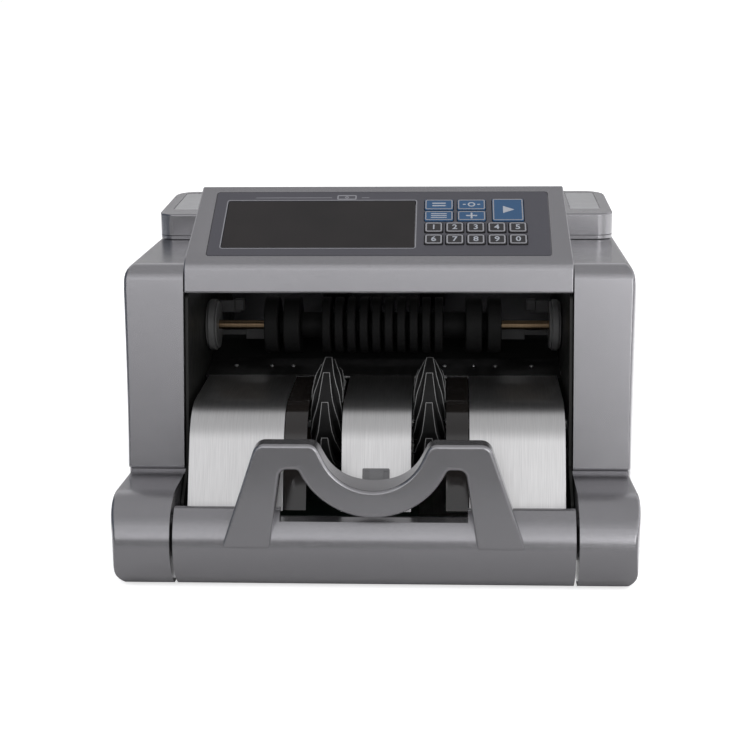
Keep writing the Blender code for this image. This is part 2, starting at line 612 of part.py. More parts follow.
def rotors():
    shaft = turned("impeller_shaft", [(-103, 0), (-103, SHAFT_R), (114, SHAFT_R), (114, 0)], IMPELLER, STEEL, 16)
    axis_here(shaft, 0, *IMPELLER)
    turned("impeller_pulley", pulley(PULLEY_X, PULLEY_R["impeller"], SHAFT_R + GAP), IMPELLER, WHITE)
    for name, side in (("left_impeller", -1), ("right_impeller", 1)):
        impeller(name, side * IMPELLER_X)
    shaft_with_pulley("transport_shaft", TRANSPORT, THIN_SHAFT_R, -103, PULLEY_R["transport"], BRASS)
    transport_roller()
    for name, low in (("left_end_disc", -97.5), ("right_end_disc", 91.5)):
        turned(name, sleeve(THIN_SHAFT_R + GAP, [(low, low + 6, 14.2)]), TRANSPORT, WHITE)
    shaft_with_pulley("feed_shaft", FEED, SHAFT_R, -103, PULLEY_R["feed"], STEEL)
    for name, side in (("left_feed_roller", -1), ("right_feed_roller", 1)):
        x = side * FEED_X
        turned(name, sleeve(SHAFT_R + GAP, [(x - 7, x + 7, FEED_R)]), FEED, RUBBER)
    radius = PULLEY_R["motor"]
    low, high = PULLEY_X, PULLEY_X + PULLEY_WIDTH
    profile = [(87, 0), (87, THIN_SHAFT_R), (low - 0.9, THIN_SHAFT_R), (low - 0.9, radius + 1.6),
               (low, radius + 1.6), (low, radius), (high, radius), (high, radius + 1.6),
               (high + 0.9, radius + 1.6), (high + 0.9, 0)]
    motor_pulley = turned("motor_pulley", profile, MOTOR, WHITE)
    axis_here(motor_pulley, 0, *MOTOR)


def drive_belt():
    """Flat belt: the band between two hulls drawn round the four pulleys."""
    hulls = []
    wheels = (("impeller", IMPELLER), ("transport", TRANSPORT), ("feed", FEED), ("motor", MOTOR))
    for grow in (GAP, GAP + BELT_THICKNESS):
        points = []
        for name, centre in wheels:
            points += circle(centre, PULLEY_R[name] + grow, 32)
        hulls.append([points[index] for index in geometry.convex_hull_2d(points)])
    prism("drive_belt", [hulls[1], hulls[0]], PULLEY_X + 1, PULLEY_X + PULLEY_WIDTH - 1, RUBBER)


# ---------------------------------------------------------------- electrics and rear
def electrics():
    body = [(20, 0), (20, 18), (22, 20), (80, 20), (82, 18), (82, 8), (85, 8), (85, 0)]
    turned("main_motor", body, MOTOR, DARK_STEEL)
    core = box("transformer", (-88, -28), (58, 98), (6.4, 46), DARK_STEEL, bevel=1.0)
    coil = box("coil", (-78, -38), (52, 104), (12, 41), COPPER, bevel=3.0)
    combine(core, coil, "UNION")
    board = box("main_board", (-90, 20), (-58, 42), (11, 12.6), BOARD)
    for x, y, size in ((-70, -30, 12), (-40, -10, 18), (-10, 20, 14)):
        combine(board, box("chip", (x, x + size), (y, y + size), (12, 16)), "UNION")


def rear():
    opening = rectangle(48, 76, 20, 40, 0.4)
    switch = rectangle(51.5, 72.5, 46, 60, 1)
    vents = [rectangle(-78 + 9 * slot, -74.5 + 9 * slot, 42, 76, 1.7) for slot in range(12)]
    edge = rectangle(-99.6, 99.6, 8, 151.5, 2)
    prism("rear_cover", [edge, opening, switch, *vents], 115.2, 117.6, SILVER, "xz")
    inlet = prism("power_inlet", [rectangle(44.5, 79.5, 17, 43, 3)], 117.95, 119.4, BLACK, "xz")
    combine(inlet, box("inlet_body", (48.6, 75.4), (97, 118.5), (20.6, 39.4), BLACK), "UNION")
    combine(inlet, box("socket", (50.6, 73.4), (101, 125), (22.4, 37.6), BLACK), "DIFFERENCE")
    rocker = [(-5.5, -6.5), (1.6, -6.0), (0.4, 0), (1.6, 6.0), (-5.5, 6.5)]
    tilt = math.radians(6)
    outline = [(117.0 + y * math.cos(tilt) - z * math.sin(tilt),
                53 + y * math.sin(tilt) + z * math.cos(tilt)) for y, z in rocker]
    switch_piece = prism("power_rocker", [outline], 52, 72, BLACK)
    axis_here(switch_piece, 62, 114.5, 53)


base_and_frames()
side_panel("left_side_panel", -1)
side_panel("right_side_panel", 1)
front_base_cover()
note_stopper()
control_panel_cover()
panel_pieces()
hopper()
stacker()
rotors()
drive_belt()
electrics()
rear()
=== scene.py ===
"""Banknote counting machine: the looks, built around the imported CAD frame.

Frame: X to the right, Y to the back, Z up, metres. Sizes below are in millimetres.
"""

import math

import bmesh
import bpy
from mathutils import Matrix, Vector


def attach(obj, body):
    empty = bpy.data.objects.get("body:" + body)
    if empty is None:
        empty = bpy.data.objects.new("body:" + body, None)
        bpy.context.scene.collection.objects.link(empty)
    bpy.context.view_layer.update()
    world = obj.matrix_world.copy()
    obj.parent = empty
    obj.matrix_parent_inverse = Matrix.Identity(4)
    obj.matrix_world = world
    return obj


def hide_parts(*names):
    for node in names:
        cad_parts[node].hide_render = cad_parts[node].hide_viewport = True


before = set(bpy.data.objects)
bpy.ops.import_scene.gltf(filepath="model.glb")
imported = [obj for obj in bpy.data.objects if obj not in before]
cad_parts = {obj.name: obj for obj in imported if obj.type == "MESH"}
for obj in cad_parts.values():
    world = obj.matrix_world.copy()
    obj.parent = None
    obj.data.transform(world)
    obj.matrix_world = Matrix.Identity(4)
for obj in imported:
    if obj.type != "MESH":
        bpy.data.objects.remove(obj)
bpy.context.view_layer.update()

MM = 0.001
SCENE = bpy.context.scene
PLANES = {
    "yz": Matrix(((0, 0, 1), (1, 0, 0), (0, 1, 0))).to_4x4(),
    "xz": Matrix(((1, 0, 0), (0, 0, -1), (0, 1, 0))).to_4x4(),
    "xy": Matrix.Identity(4),
}


# ------------------------------------------------------------------ outlines
def rounded(corners, step=8.0):
    """Points of a closed outline whose corners (x, y, radius) are rounded with arcs."""
    points = []
    count = len(corners)
    for index, (x, y, radius) in enumerate(corners):
        here = Vector((x, y))
        if radius <= 0:
            points.append(here)
            continue
        before = (Vector(corners[index - 1][:2]) - here).normalized()
        after = (Vector(corners[(index + 1) % count][:2]) - here).normalized()
        opening = before.angle(after)
        turn = math.pi - opening
        centre = here + (before + after).normalized() * (radius / math.sin(opening / 2))
        start = here + before * (radius / math.tan(opening / 2)) - centre
        side = 1 if before.x * after.y - before.y * after.x < 0 else -1
        pieces = max(2, math.ceil(math.degrees(turn) / step))
        for piece in range(pieces + 1):
            angle = side * turn * piece / pieces
            cos, sin = math.cos(angle), math.sin(angle)
            points.append(centre + Vector((start.x * cos - start.y * sin, start.x * sin + start.y * cos)))
    return points


def arc(centre, radius, start, end, pieces):
    """Points on an arc; angles in degrees, 0 towards +first axis, counter-clockwise."""
    points = []
    for piece in range(pieces + 1):
        angle = math.radians(start + (end - start) * piece / pieces)
        points.append(Vector((centre[0] + radius * math.cos(angle), centre[1] + radius * math.sin(angle))))
    return points


def circle(centre, radius, pieces=48):
    return arc(centre, radius, 0, 360 - 360 / pieces, pieces - 1)


def rectangle(left, right, bottom, top, radius=0.0):
    corners = [(left, bottom), (right, bottom), (right, top), (left, top)]
    return rounded([(x, y, radius) for x, y in corners], 15)


def mirrored(points):
    """The same corners on the other side, in the opposite order."""
    return [(-point[0], *point[1:]) for point in reversed(points)]


# ------------------------------------------------------------------ meshes
def add_object(name, mesh, matrix=None):
    made = bpy.data.objects.new(name, mesh)
    SCENE.collection.objects.link(made)
    if matrix is not None:
        made.matrix_world = matrix
    return made


def evaluated(source, name):
    """A plain mesh object, welded and facing out, in place of an object with modifiers."""
    bpy.context.view_layer.update()
    mesh = bpy.data.meshes.new_from_object(source.evaluated_get(bpy.context.evaluated_depsgraph_get()))
    mesh.transform(source.matrix_world)
    bpy.data.objects.remove(source)
    work = bmesh.new()
    work.from_mesh(mesh)
    bmesh.ops.remove_doubles(work, verts=work.verts, dist=0.000004)
    bmesh.ops.recalc_face_normals(work, faces=work.faces)
    work.to_mesh(mesh)
    work.free()
    mesh.name = name
    return add_object(name, mesh)


def prism(name, outlines, low, high, plane="yz", edge=0.0, segments=3, matrix=None):
    """Solid between two levels of a flat outline, its rims rounded by edge; other outlines are holes."""
    curve = bpy.data.curves.new(name, "CURVE")
    curve.dimensions = "2D"
    curve.fill_mode = "BOTH"
    curve.extrude = ((high - low) / 2 - edge) * MM
    curve.bevel_depth = edge * MM
    curve.bevel_resolution = segments
    curve.offset = -edge * MM
    for outline in outlines:
        spline = curve.splines.new("POLY")
        spline.points.add(len(outline) - 1)
        for point, place in zip(spline.points, outline):
            point.co = (place[0] * MM, place[1] * MM, 0, 1)
        spline.use_cyclic_u = True
    source = add_object(name + "_outline", curve)
    middle = (low + high) / 2 * (-1 if plane == "xz" else 1)
    level = Matrix.Translation((0, 0, middle * MM))
    source.matrix_world = (matrix or Matrix.Identity(4)) @ PLANES[plane] @ level
    return evaluated(source, name)


def turned(name, profile, centre, plane="yz", steps=64):
    """Solid of revolution about X, or about Z in plane xy; the profile is (along, radius)."""
    mesh = bpy.data.meshes.new(name)
    work = bmesh.new()
    dots = [work.verts.new((radius * MM, 0, along * MM)) for along, radius in profile]
    for first, second in zip(dots, dots[1:]):
        work.edges.new((first, second))
    if profile[0][1] > 0:
        work.edges.new((dots[-1], dots[0]))
    work.to_mesh(mesh)
    work.free()
    source = add_object(name + "_profile", mesh)
    screw = source.modifiers.new("turn", "SCREW")
    screw.steps = steps
    screw.render_steps = steps
    screw.use_merge_vertices = True
    screw.merge_threshold = 0.000005
    source.matrix_world = PLANES[plane] @ Matrix.Translation((centre[0] * MM, centre[1] * MM, 0))
    return evaluated(source, name)


def block(name, x, y, z, edge=0.0, segments=3, matrix=None):
    """Box between (low, high) pairs with its edges rounded."""
    mesh = bpy.data.meshes.new(name)
    work = bmesh.new()
    bmesh.ops.create_cube(work, size=1.0)
    size = [(pair[1] - pair[0]) * MM for pair in (x, y, z)]
    centre = [(pair[1] + pair[0]) / 2 * MM for pair in (x, y, z)]
    bmesh.ops.scale(work, vec=size, verts=work.verts)
    bmesh.ops.translate(work, vec=centre, verts=work.verts)
    if edge:
        bmesh.ops.bevel(work, geom=work.edges[:], offset=edge * MM, segments=segments, profile=0.5,
                        affect="EDGES")
    if matrix is not None:
        bmesh.ops.transform(work, matrix=matrix, verts=work.verts)
    work.to_mesh(mesh)
    work.free()
    return add_object(name, mesh)


def combine(target, tool, operation="DIFFERENCE"):
    """Cut, join or trim a piece with a tool, which is used up."""
    step = target.modifiers.new("step", "BOOLEAN")
    step.operation = operation
    step.solver = "EXACT"
    step.object = tool
    made = evaluated(target, target.name)
    bpy.data.objects.remove(tool)
    return made


def join(name, pieces):
    """One mesh object from several."""
    work = bmesh.new()
    for piece in pieces:
        part = piece.data.copy()
        part.transform(piece.matrix_world)
        work.from_mesh(part)
    mesh = bpy.data.meshes.new(name)
    work.to_mesh(mesh)
    work.free()
    for piece in pieces:
        bpy.data.objects.remove(piece)
    return add_object(name, mesh)


def slice_grid(piece, axis, places):
    """Cut a mesh's faces along planes, so that its long faces can be bent."""
    work = bmesh.new()
    work.from_mesh(piece.data)
    normal = Vector((0, 0, 0))
    normal[axis] = 1
    for place in places:
        bmesh.ops.bisect_plane(work, geom=work.verts[:] + work.edges[:] + work.faces[:],
                               plane_co=normal * place * MM, plane_no=normal, dist=0.000002)
    work.to_mesh(piece.data)
    work.free()


def reshape(piece, rule):
    """Move every vertex by a rule that takes and returns a point in millimetres."""
    for vertex in piece.data.vertices:
        vertex.co = Vector(rule(vertex.co / MM)) * MM


def bevelled(piece, width, segments=3, angle=35):
    """Round a piece's sharp edges."""
    step = piece.modifiers.new("edges", "BEVEL")
    step.width = width * MM
    step.segments = segments
    step.limit_method = "ANGLE"
    step.angle_limit = math.radians(angle)
    step.miter_outer = "MITER_ARC"
    step.use_clamp_overlap = True
    return evaluated(piece, piece.name)

def soften(piece, width, segments=2, where=None, angle=50):
    """Round the sharp edges that lie where a rule says, without touching the others."""
    work = bmesh.new()
    work.from_mesh(piece.data)
    edges = [edge for edge in work.edges if edge.is_manifold and edge.calc_face_angle() > math.radians(angle)
             and (where is None or all(where(vertex.co / MM) for vertex in edge.verts))]
    bmesh.ops.bevel(work, geom=edges, offset=width * MM, segments=segments, profile=0.5, affect="EDGES",
                    clamp_overlap=True)
    work.to_mesh(piece.data)
    work.free()


def finish_piece(piece, look, body, nodes=(), angle=40):
    """Shade, paint and place a piece on its body, in place of its CAD nodes."""
    mesh = piece.data
    mesh.shade_smooth()
    mesh.set_sharp_from_angle(angle=math.radians(angle))
    if mesh.materials:
        mesh.materials[0] = look
    else:
        mesh.materials.append(look)
    weighting = piece.modifiers.new("even shading", "WEIGHTED_NORMAL")
    weighting.keep_sharp = True
    weighting.weight = 80
    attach(piece, body)
    if nodes:
        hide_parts(*nodes)
    return piece


def from_cad(node, name, edge=0.3, segments=2, dissolve=1.0):
    """A copy of a CAD node with clean faces and rounded edges."""
    work = bmesh.new()
    work.from_mesh(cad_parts[node].data)
    bmesh.ops.remove_doubles(work, verts=work.verts, dist=0.000004)
    bmesh.ops.dissolve_limit(work, angle_limit=math.radians(dissolve), verts=work.verts, edges=work.edges)
    mesh = bpy.data.meshes.new(name)
    work.to_mesh(mesh)
    work.free()
    made = add_object(name, mesh)
    return bevelled(made, edge, segments) if edge else made


# ------------------------------------------------------------------ materials
def noise(tree, vector, size, detail=2.0):
    """Noise whose features are about this many millimetres across."""
    node = tree.nodes.new("ShaderNodeTexNoise")
    node.inputs["Scale"].default_value = 1 / (size * MM)
    node.inputs["Detail"].default_value = detail
    tree.links.new(vector, node.inputs["Vector"])
    return node.outputs["Fac"]


def spread(tree, value, low, high, start=0.3, end=0.7):
    """Map a noise value onto a range."""
    node = tree.nodes.new("ShaderNodeMapRange")
    for name, number in (("From Min", start), ("From Max", end), ("To Min", low), ("To Max", high)):
        node.inputs[name].default_value = number
    tree.links.new(value, node.inputs["Value"])
    return node.outputs["Result"]


def times(tree, first, second):
    node = tree.nodes.new("ShaderNodeMath")
    node.operation = "MULTIPLY"
    tree.links.new(first, node.inputs[0])
    tree.links.new(second, node.inputs[1])
    return node.outputs["Value"]


def surface(name, colour, roughness, metallic=0.0, grain=0.05, grain_size=0.5, cloud=0.04, bump=0.004,
            bump_size=0.9, edge_wear_and_highlight=0.15, polish=0.06, coat=0.0, specular=0.5, stretch=(1, 1, 1)):
    """Finish with fine grain, broad unevenness, surface texture, and edges lightened partly as wear and partly
    as a painted highlight.
    """
    made = bpy.data.materials.new(name)
    made.use_nodes = True
    tree = made.node_tree
    shader = tree.nodes["Principled BSDF"]
    place = tree.nodes.new("ShaderNodeTexCoord").outputs["Object"]
    drawn = tree.nodes.new("ShaderNodeVectorMath")
    drawn.operation = "MULTIPLY"
    drawn.inputs[1].default_value = stretch
    tree.links.new(place, drawn.inputs[0])
    drawn = drawn.outputs["Vector"]
    fine = noise(tree, drawn, grain_size)
    broad = noise(tree, place, 45.0, 3.0)
    level = times(tree, spread(tree, fine, 1 - grain, 1 + grain), spread(tree, broad, 1 - cloud, 1 + cloud))
    paint = tree.nodes.new("ShaderNodeVectorMath")
    paint.operation = "SCALE"
    paint.inputs[0].default_value = colour
    tree.links.new(level, paint.inputs["Scale"])
    # Edges made lighter by pointiness: partly wear, partly a painted highlight of the light caught on rounded
    # edges.
    edge = tree.nodes.new("ShaderNodeNewGeometry").outputs["Pointiness"]
    worn_and_highlit = spread(tree, edge, 0.0, edge_wear_and_highlight, 0.52, 0.60)
    blend = tree.nodes.new("ShaderNodeMix")
    blend.data_type = "RGBA"
    tree.links.new(worn_and_highlit, blend.inputs["Factor"])
    tree.links.new(paint.outputs["Vector"], blend.inputs["A"])
    blend.inputs["B"].default_value = (*[min(1.0, value * 1.6 + 0.1) for value in colour], 1)
    tree.links.new(blend.outputs["Result"], shader.inputs["Base Color"])
    rubbed = noise(tree, place, 7.0, 4.0)
    tree.links.new(spread(tree, rubbed, roughness - polish, roughness + polish), shader.inputs["Roughness"])
    shader.inputs["Metallic"].default_value = metallic
    shader.inputs["Specular IOR Level"].default_value = specular
    shader.inputs["Coat Weight"].default_value = coat
    shader.inputs["Coat Roughness"].default_value = 0.12
    relief = tree.nodes.new("ShaderNodeBump")
    relief.inputs["Distance"].default_value = bump * MM
    tree.links.new(noise(tree, drawn, bump_size, 3.0), relief.inputs["Height"])
    tree.links.new(relief.outputs["Normal"], shader.inputs["Normal"])
    return made


def flaked(made, size=0.45, amount=0.10):
    """Add metal flakes to a paint: cells that each catch the light a little differently."""
    tree = made.node_tree
    shader = tree.nodes["Principled BSDF"]
    cells = tree.nodes.new("ShaderNodeTexVoronoi")
    cells.inputs["Scale"].default_value = 1 / (size * MM)
    tree.links.new(tree.nodes["Texture Coordinate"].outputs["Object"], cells.inputs["Vector"])
    split = tree.nodes.new("ShaderNodeSeparateColor")
    tree.links.new(cells.outputs["Color"], split.inputs["Color"])
    flash = spread(tree, split.outputs["Red"], 1 - amount, 1 + amount, 0.0, 1.0)
    source = shader.inputs["Base Color"].links[0].from_socket
    lit = tree.nodes.new("ShaderNodeVectorMath")
    lit.operation = "SCALE"
    tree.links.new(source, lit.inputs[0])
    tree.links.new(flash, lit.inputs["Scale"])
    tree.links.new(lit.outputs["Vector"], shader.inputs["Base Color"])
    return made


SILVER = flaked(surface("silver_paint", (0.36, 0.355, 0.37), 0.26, 0.88, grain=0.03, cloud=0.015, bump=0.0003,
                        bump_size=1.2, edge_wear_and_highlight=0.05, polish=0.012, coat=0.15), 0.45, 0.05)
STEEL = surface("brushed_steel", (0.74, 0.735, 0.73), 0.34, 1.0, grain=0.07, grain_size=0.3, cloud=0.02,
                bump=0.0003, bump_size=0.5, edge_wear_and_highlight=0.0, polish=0.004, stretch=(1, 0.02, 0.02))
TURNED_STEEL = surface("turned_steel", (0.55, 0.55, 0.55), 0.28, 1.0, grain=0.12, grain_size=0.3,
                       stretch=(1, 0.05, 0.05))
DARK_STEEL = surface("dark_steel", (0.016, 0.016, 0.015), 0.45, 0.2, grain=0.15, cloud=0.12, specular=0.3)
BRASS = surface("brass_shaft", (0.24, 0.17, 0.105), 0.34, 1.0, grain=0.12, grain_size=0.4, edge_wear_and_highlight=0.0,
                stretch=(1, 0.05, 0.05))
BLACK = surface("black_plastic", (0.008, 0.008, 0.008), 0.45, grain=0.2, cloud=0.1, bump=0.01, bump_size=0.7,
                edge_wear_and_highlight=0.04, specular=0.22)
RUBBER = surface("black_rubber", (0.007, 0.007, 0.007), 0.62, grain=0.25, cloud=0.2, bump=0.015, bump_size=0.5,
                 edge_wear_and_highlight=0.05, specular=0.15)
FIN_RUBBER = surface("fin_rubber", (0.006, 0.006, 0.006), 0.48, grain=0.25, cloud=0.2, bump=0.006,
                     bump_size=0.6, edge_wear_and_highlight=0.0, specular=0.2)
# Light grey on the black fins' rims: a painted highlight of their rounded edges.
FIN_PAINTED_HIGHLIGHT = surface("fin_edge_painted_highlight", (0.16, 0.16, 0.16), 0.35, grain=0.2, cloud=0.3, bump=0.006, edge_wear_and_highlight=0.0)
BRACKET = surface("bracket_grey", (0.035, 0.035, 0.036), 0.45, grain=0.1, cloud=0.1, bump=0.006)
# White end discs coloured dark grey: painted shade for the dim inside of the machine.
DISC_PAINTED_SHADE = surface("white_disc_painted_shade", (0.11, 0.11, 0.11), 0.42, grain=0.06, cloud=0.08, bump=0.006)
WHITE = surface("white_plastic", (0.34, 0.34, 0.335), 0.42, grain=0.06, cloud=0.06, bump=0.01)
OVERLAY = surface("grey_overlay", (0.064, 0.063, 0.075), 0.36, grain=0.06, grain_size=0.35,
                  bump=0.006, bump_size=0.35, edge_wear_and_highlight=0.0)
KEY_BLUE = surface("blue_key", (0.024, 0.078, 0.170), 0.36, grain=0.06, cloud=0.06, bump=0.006, bump_size=0.4,
                   edge_wear_and_highlight=0.1)
KEY_BLACK = surface("black_key", (0.022, 0.021, 0.023), 0.38, grain=0.08, cloud=0.06, bump=0.006,
                    bump_size=0.4, edge_wear_and_highlight=0.1)
GLASS = surface("smoked_window", (0.009, 0.007, 0.007), 0.09, grain=0.02, cloud=0.5, bump=0.0004,
                bump_size=6.0, edge_wear_and_highlight=0.0, polish=0.025)
STRIP = surface("smoked_strip", (0.010, 0.008, 0.007), 0.10, cloud=0.3, bump=0.001,
                bump_size=3.0, edge_wear_and_highlight=0.1, polish=0.04, coat=0.5)
# Boards nearly black: painted shade, so the slit where a board shows under the stacker plate reads dark.
BOARD_PAINTED_SHADE = surface("circuit_board", (0.004, 0.014, 0.009), 0.5, grain=0.3, grain_size=1.6, cloud=0.15, bump=0.03)
COPPER = surface("coil_tape", (0.06, 0.035, 0.010), 0.45, grain=0.12, grain_size=1.0, stretch=(0.1, 1, 1))
PRINT = surface("grey_print", (0.27, 0.27, 0.29), 0.42, cloud=0.03, bump=0.002, edge_wear_and_highlight=0.0)
PALE_PRINT = surface("pale_print", (0.36, 0.38, 0.42), 0.42, cloud=0.03, bump=0.002, edge_wear_and_highlight=0.0)
LABEL = surface("satin_label", (0.42, 0.42, 0.43), 0.34, 0.25, cloud=0.05, bump=0.002, edge_wear_and_highlight=0.0)
CHIP = surface("sensor_grey", (0.16, 0.16, 0.165), 0.35, 0.2, grain=0.08, cloud=0.1)


# ------------------------------------------------------------------ driving dimensions
HALF_WIDTH = 135.3
REAR_Y = 120.5
SKIRT_Z = 1.0
SIDE_TOP_Z = 151.7
WALL = 2.4
GAP = 0.35
MOUTH_HALF = 100.0
MOUTH_TOP = Vector((-52.9, 137.5))
FACE_FOOT = Vector((-68.1, 47.6))
FOOT_TOP_Z = 46.0
NOSE = (-96.0, 22.0)
NOSE_R = 24.0
LIP_Z = 41.2
PANEL_TILT = math.radians(28.0)
PANEL_Y, PANEL_Z = -45.5, 155.9
PANEL_BACK_Y = 11.5
THROAT_Z = 126.0
OVERLAY_HALF = 88.6
OVERLAY_LENGTH = 56.2
SCREEN = (-81.6, 18.3, 6.8, 48.0)
START_KEY = (59.1, 75.5, 29.3, 48.9)
FUNCTION_COLUMNS = ((23.4, 38.4), (40.7, 55.5))
FUNCTION_ROWS = {"upper": (39.2, 48.3), "lower": (29.5, 37.9)}
DIGIT_LEFT, DIGIT_PITCH, DIGIT_WIDTH = 23.7, 10.95, 9.2
DIGIT_ROWS = {"12345": (19.3, 27.7), "67890": (9.0, 17.2)}
IMPELLER = (-40.0, 66.0)
TRANSPORT = (14.0, 107.5)
FEED = (42.0, 128.5)
HOPPER_FRONT_Y, HOPPER_BACK_Y = 36.0, 107.0
HOPPER_OUTER, HOPPER_INNER = 127.8, 94.5
RING_OUTER = 99.6
RING_Z = (152.0, 161.2)
SHELF_TOP_Z = 154.0
CAP_FOOT_Z = 154.3
CAP_FRONT_Z = 166.3
CAP_SLOPE = 4.2 / 71.0

PANEL = Matrix.Translation((0, PANEL_Y * MM, PANEL_Z * MM)) @ Matrix.Rotation(PANEL_TILT, 4, "X")
FACE_LEAN = (MOUTH_TOP.x - FACE_FOOT.x) / (MOUTH_TOP.y - FACE_FOOT.y)


def face_y(z, inset=0.0):
    """Depth of the leaning front face at a height."""
    return FACE_FOOT.x + (z - FACE_FOOT.y) * FACE_LEAN + inset


def slope_z(y, drop=0.0):
    """Height of the control panel's slope at a depth."""
    return PANEL_Z + (y - PANEL_Y) * math.tan(PANEL_TILT) - drop / math.cos(PANEL_TILT)


def nose(radius, bottom_z, top_z, pieces=40):
    low = 180 + math.degrees(math.asin((NOSE[1] - bottom_z) / radius))
    high = 180 - math.degrees(math.asin((top_z - NOSE[1]) / radius))
    return arc(NOSE, radius, low, high, pieces)


def curve_through(points, at):
    """Height of a smooth curve through (place, height) points."""
    places = [place for place, _ in points]
    index = min(max(sum(place <= at for place in places) - 1, 0), len(points) - 2)
    before, start, end, after = (points[min(max(index + step, 0), len(points) - 1)] for step in (-1, 0, 1, 2))
    share = min(max((at - start[0]) / (end[0] - start[0]), 0), 1)
    span = end[0] - start[0]
    slope_in = (end[1] - before[1]) / (end[0] - before[0]) * span
    slope_out = (after[1] - start[1]) / (after[0] - start[0]) * span
    square, cube = share * share, share ** 3
    return ((2 * cube - 3 * square + 1) * start[1] + (cube - 2 * square + share) * slope_in
            + (3 * square - 2 * cube) * end[1] + (cube - square) * slope_out)


# ------------------------------------------------------------------ covers
SIDE_PLAN = [(-125, 126.5), (-119, 128.2), (-112, 129.8), (-100, 130.4), (-66, 129.4), (-58, 130.0),
             (-48, 131.5), (-38, 133.0), (-22, 134.2), (0, 135.0), (30, 135.3), (65, 134.9), (95, 133.2),
             (112, 131.0), (125, 127.5)]
SIDE_FRONT = [(-5, 123.5), (1, 126.6), (8, 130.0), (18, 132.4), (40, 134.2), (70, 135.3), (100, 135.3),
              (125, 134.8), (139, 133.4), (145, 131.6), (149, 129.8), (152, 127.2)]


def side_reach(y, z):
    """How far out the bulging side comes at a depth and height."""
    by_plan = HALF_WIDTH - curve_through(SIDE_PLAN, y)
    by_front = HALF_WIDTH - curve_through(SIDE_FRONT, z)
    return HALF_WIDTH - max((max(by_plan, 0) ** 5 + max(by_front, 0) ** 5) ** 0.2, 0.02)


def side_panels():
    """Two moulded sides: a leaning block that stands on a long rounded foot."""
    foot = nose(NOSE_R, SKIRT_Z, FOOT_TOP_Z - 0.001)
    foot += [Vector((REAR_Y, FOOT_TOP_Z)), Vector((REAR_Y, SKIRT_Z))]
    block_line = rounded([(face_y(FACE_FOOT.y), FACE_FOOT.y, 2.0), (-64.6, FACE_FOOT.y, 0), (-64.6, 38, 0),
                          (REAR_Y, 38, 0), (REAR_Y, SIDE_TOP_Z, 9), (face_y(SIDE_TOP_Z), SIDE_TOP_Z, 9)], 6)
    panel = prism("right_side", [foot], 92, HALF_WIDTH, edge=2.2, segments=4)
    panel = combine(panel, prism("upper", [block_line], 92, HALF_WIDTH, edge=1.9, segments=4), "UNION")
    panel = combine(panel, block("seam", (80, MOUTH_HALF), (-140, 140), (-10, 170)))
    inner = nose(NOSE_R - 2.6, 3.6, 43.4, 16)
    inner += rounded([(-63, 43.4, 0), (face_y(52, 2.6), 52, 0),
                      (face_y(149, 2.6), 149.2, 6), (118, 149.2, 6), (118, 3.6, 0)])
    hollow = combine(prism("hollow", [inner], 102.2, HALF_WIDTH - 2.7),
                     prism("opening", [rectangle(-44, 112, 10, 135, 6)], 95, 104), "UNION")
    panel = combine(panel, hollow)
    for axis, places in ((1, range(-110, 120, 7)), (2, range(6, 150, 7))):
        slice_grid(panel, axis, places)

    def bulge(point):
        share = (point.x - MOUTH_HALF) / (HALF_WIDTH - MOUTH_HALF)
        return Vector((MOUTH_HALF + share * (side_reach(point.y, point.z) - MOUTH_HALF), point.y, point.z))

    reshape(panel, bulge)
    soften(panel, 0.5, 2, lambda point: point.x < MOUTH_HALF + 0.01)
    other = add_object("left_side", panel.data.copy())
    reshape(other, lambda point: Vector((-point.x, point.y, point.z)))
    other.data.flip_normals()
    finish_piece(panel, SILVER, "chassis", ["right_side_panel"])
    finish_piece(other, SILVER, "chassis", ["left_side_panel"])


def front_base_cover():
    """Rounded centre of the base front, with its lip and finger recess."""
    outer = nose(NOSE_R, SKIRT_Z, LIP_Z)
    outer += [Vector(point) for point in ((-107.9, LIP_Z), (-107.9, 31.5), (-92.8, 31.5), (-92.8, SKIRT_Z))]
    cover = prism("base_front", [outer], -98.4, 98.4)
    hollow = nose(NOSE_R - WALL, SKIRT_Z + WALL, 29, 12)
    hollow += [Vector((-85, 29)), Vector((-85, SKIRT_Z + WALL))]
    cover = combine(cover, prism("hollow", [hollow], -96, 96))
    cover = combine(cover, block("recess", (-46, 46), (-125, -100), (36, 50)))
    soften(cover, 0.5, 3, lambda point: point.y < -100)
    finish_piece(cover, SILVER, "chassis", ["front_base_cover"])


def note_stopper():
    """M-shaped stopper with splayed legs, two humps and a deep thumb valley."""
    half = [(74.4, 23.3, 1.8), (56.4, 76.4, 6), (27.7, 76.4, 6)]
    arch = [(-50.6, 23.3, 1.8), (-44.7, 63.6, 4), (-36.1, 63.6, 2.6)]
    line = half + [(0, 19.6, 26)] + mirrored(half) + arch + [(0, -10.5, 39)] + mirrored(arch)
    stopper = prism("stopper", [rounded(line, 5)], -120.5, -98, "xz", edge=1.7, segments=4)
    back = [-110.5 + 5 * (1 + math.cos(math.pi * step / 12)) for step in range(-12, 13)]
    depth = [Vector((80, -124)), Vector((80, -110.5))]
    depth += [Vector((-step * 3, y)) for step, y in zip(range(-12, 13), back)]
    depth += [Vector((-80, -110.5)), Vector((-80, -124))]
    stopper = combine(stopper, prism("depth", [depth], 10, 90, "xy"), "INTERSECT")
    soften(stopper, 0.6, 2, lambda point: point.y > -111.5)
    finish_piece(stopper, SILVER, "chassis", ["note_stopper"])


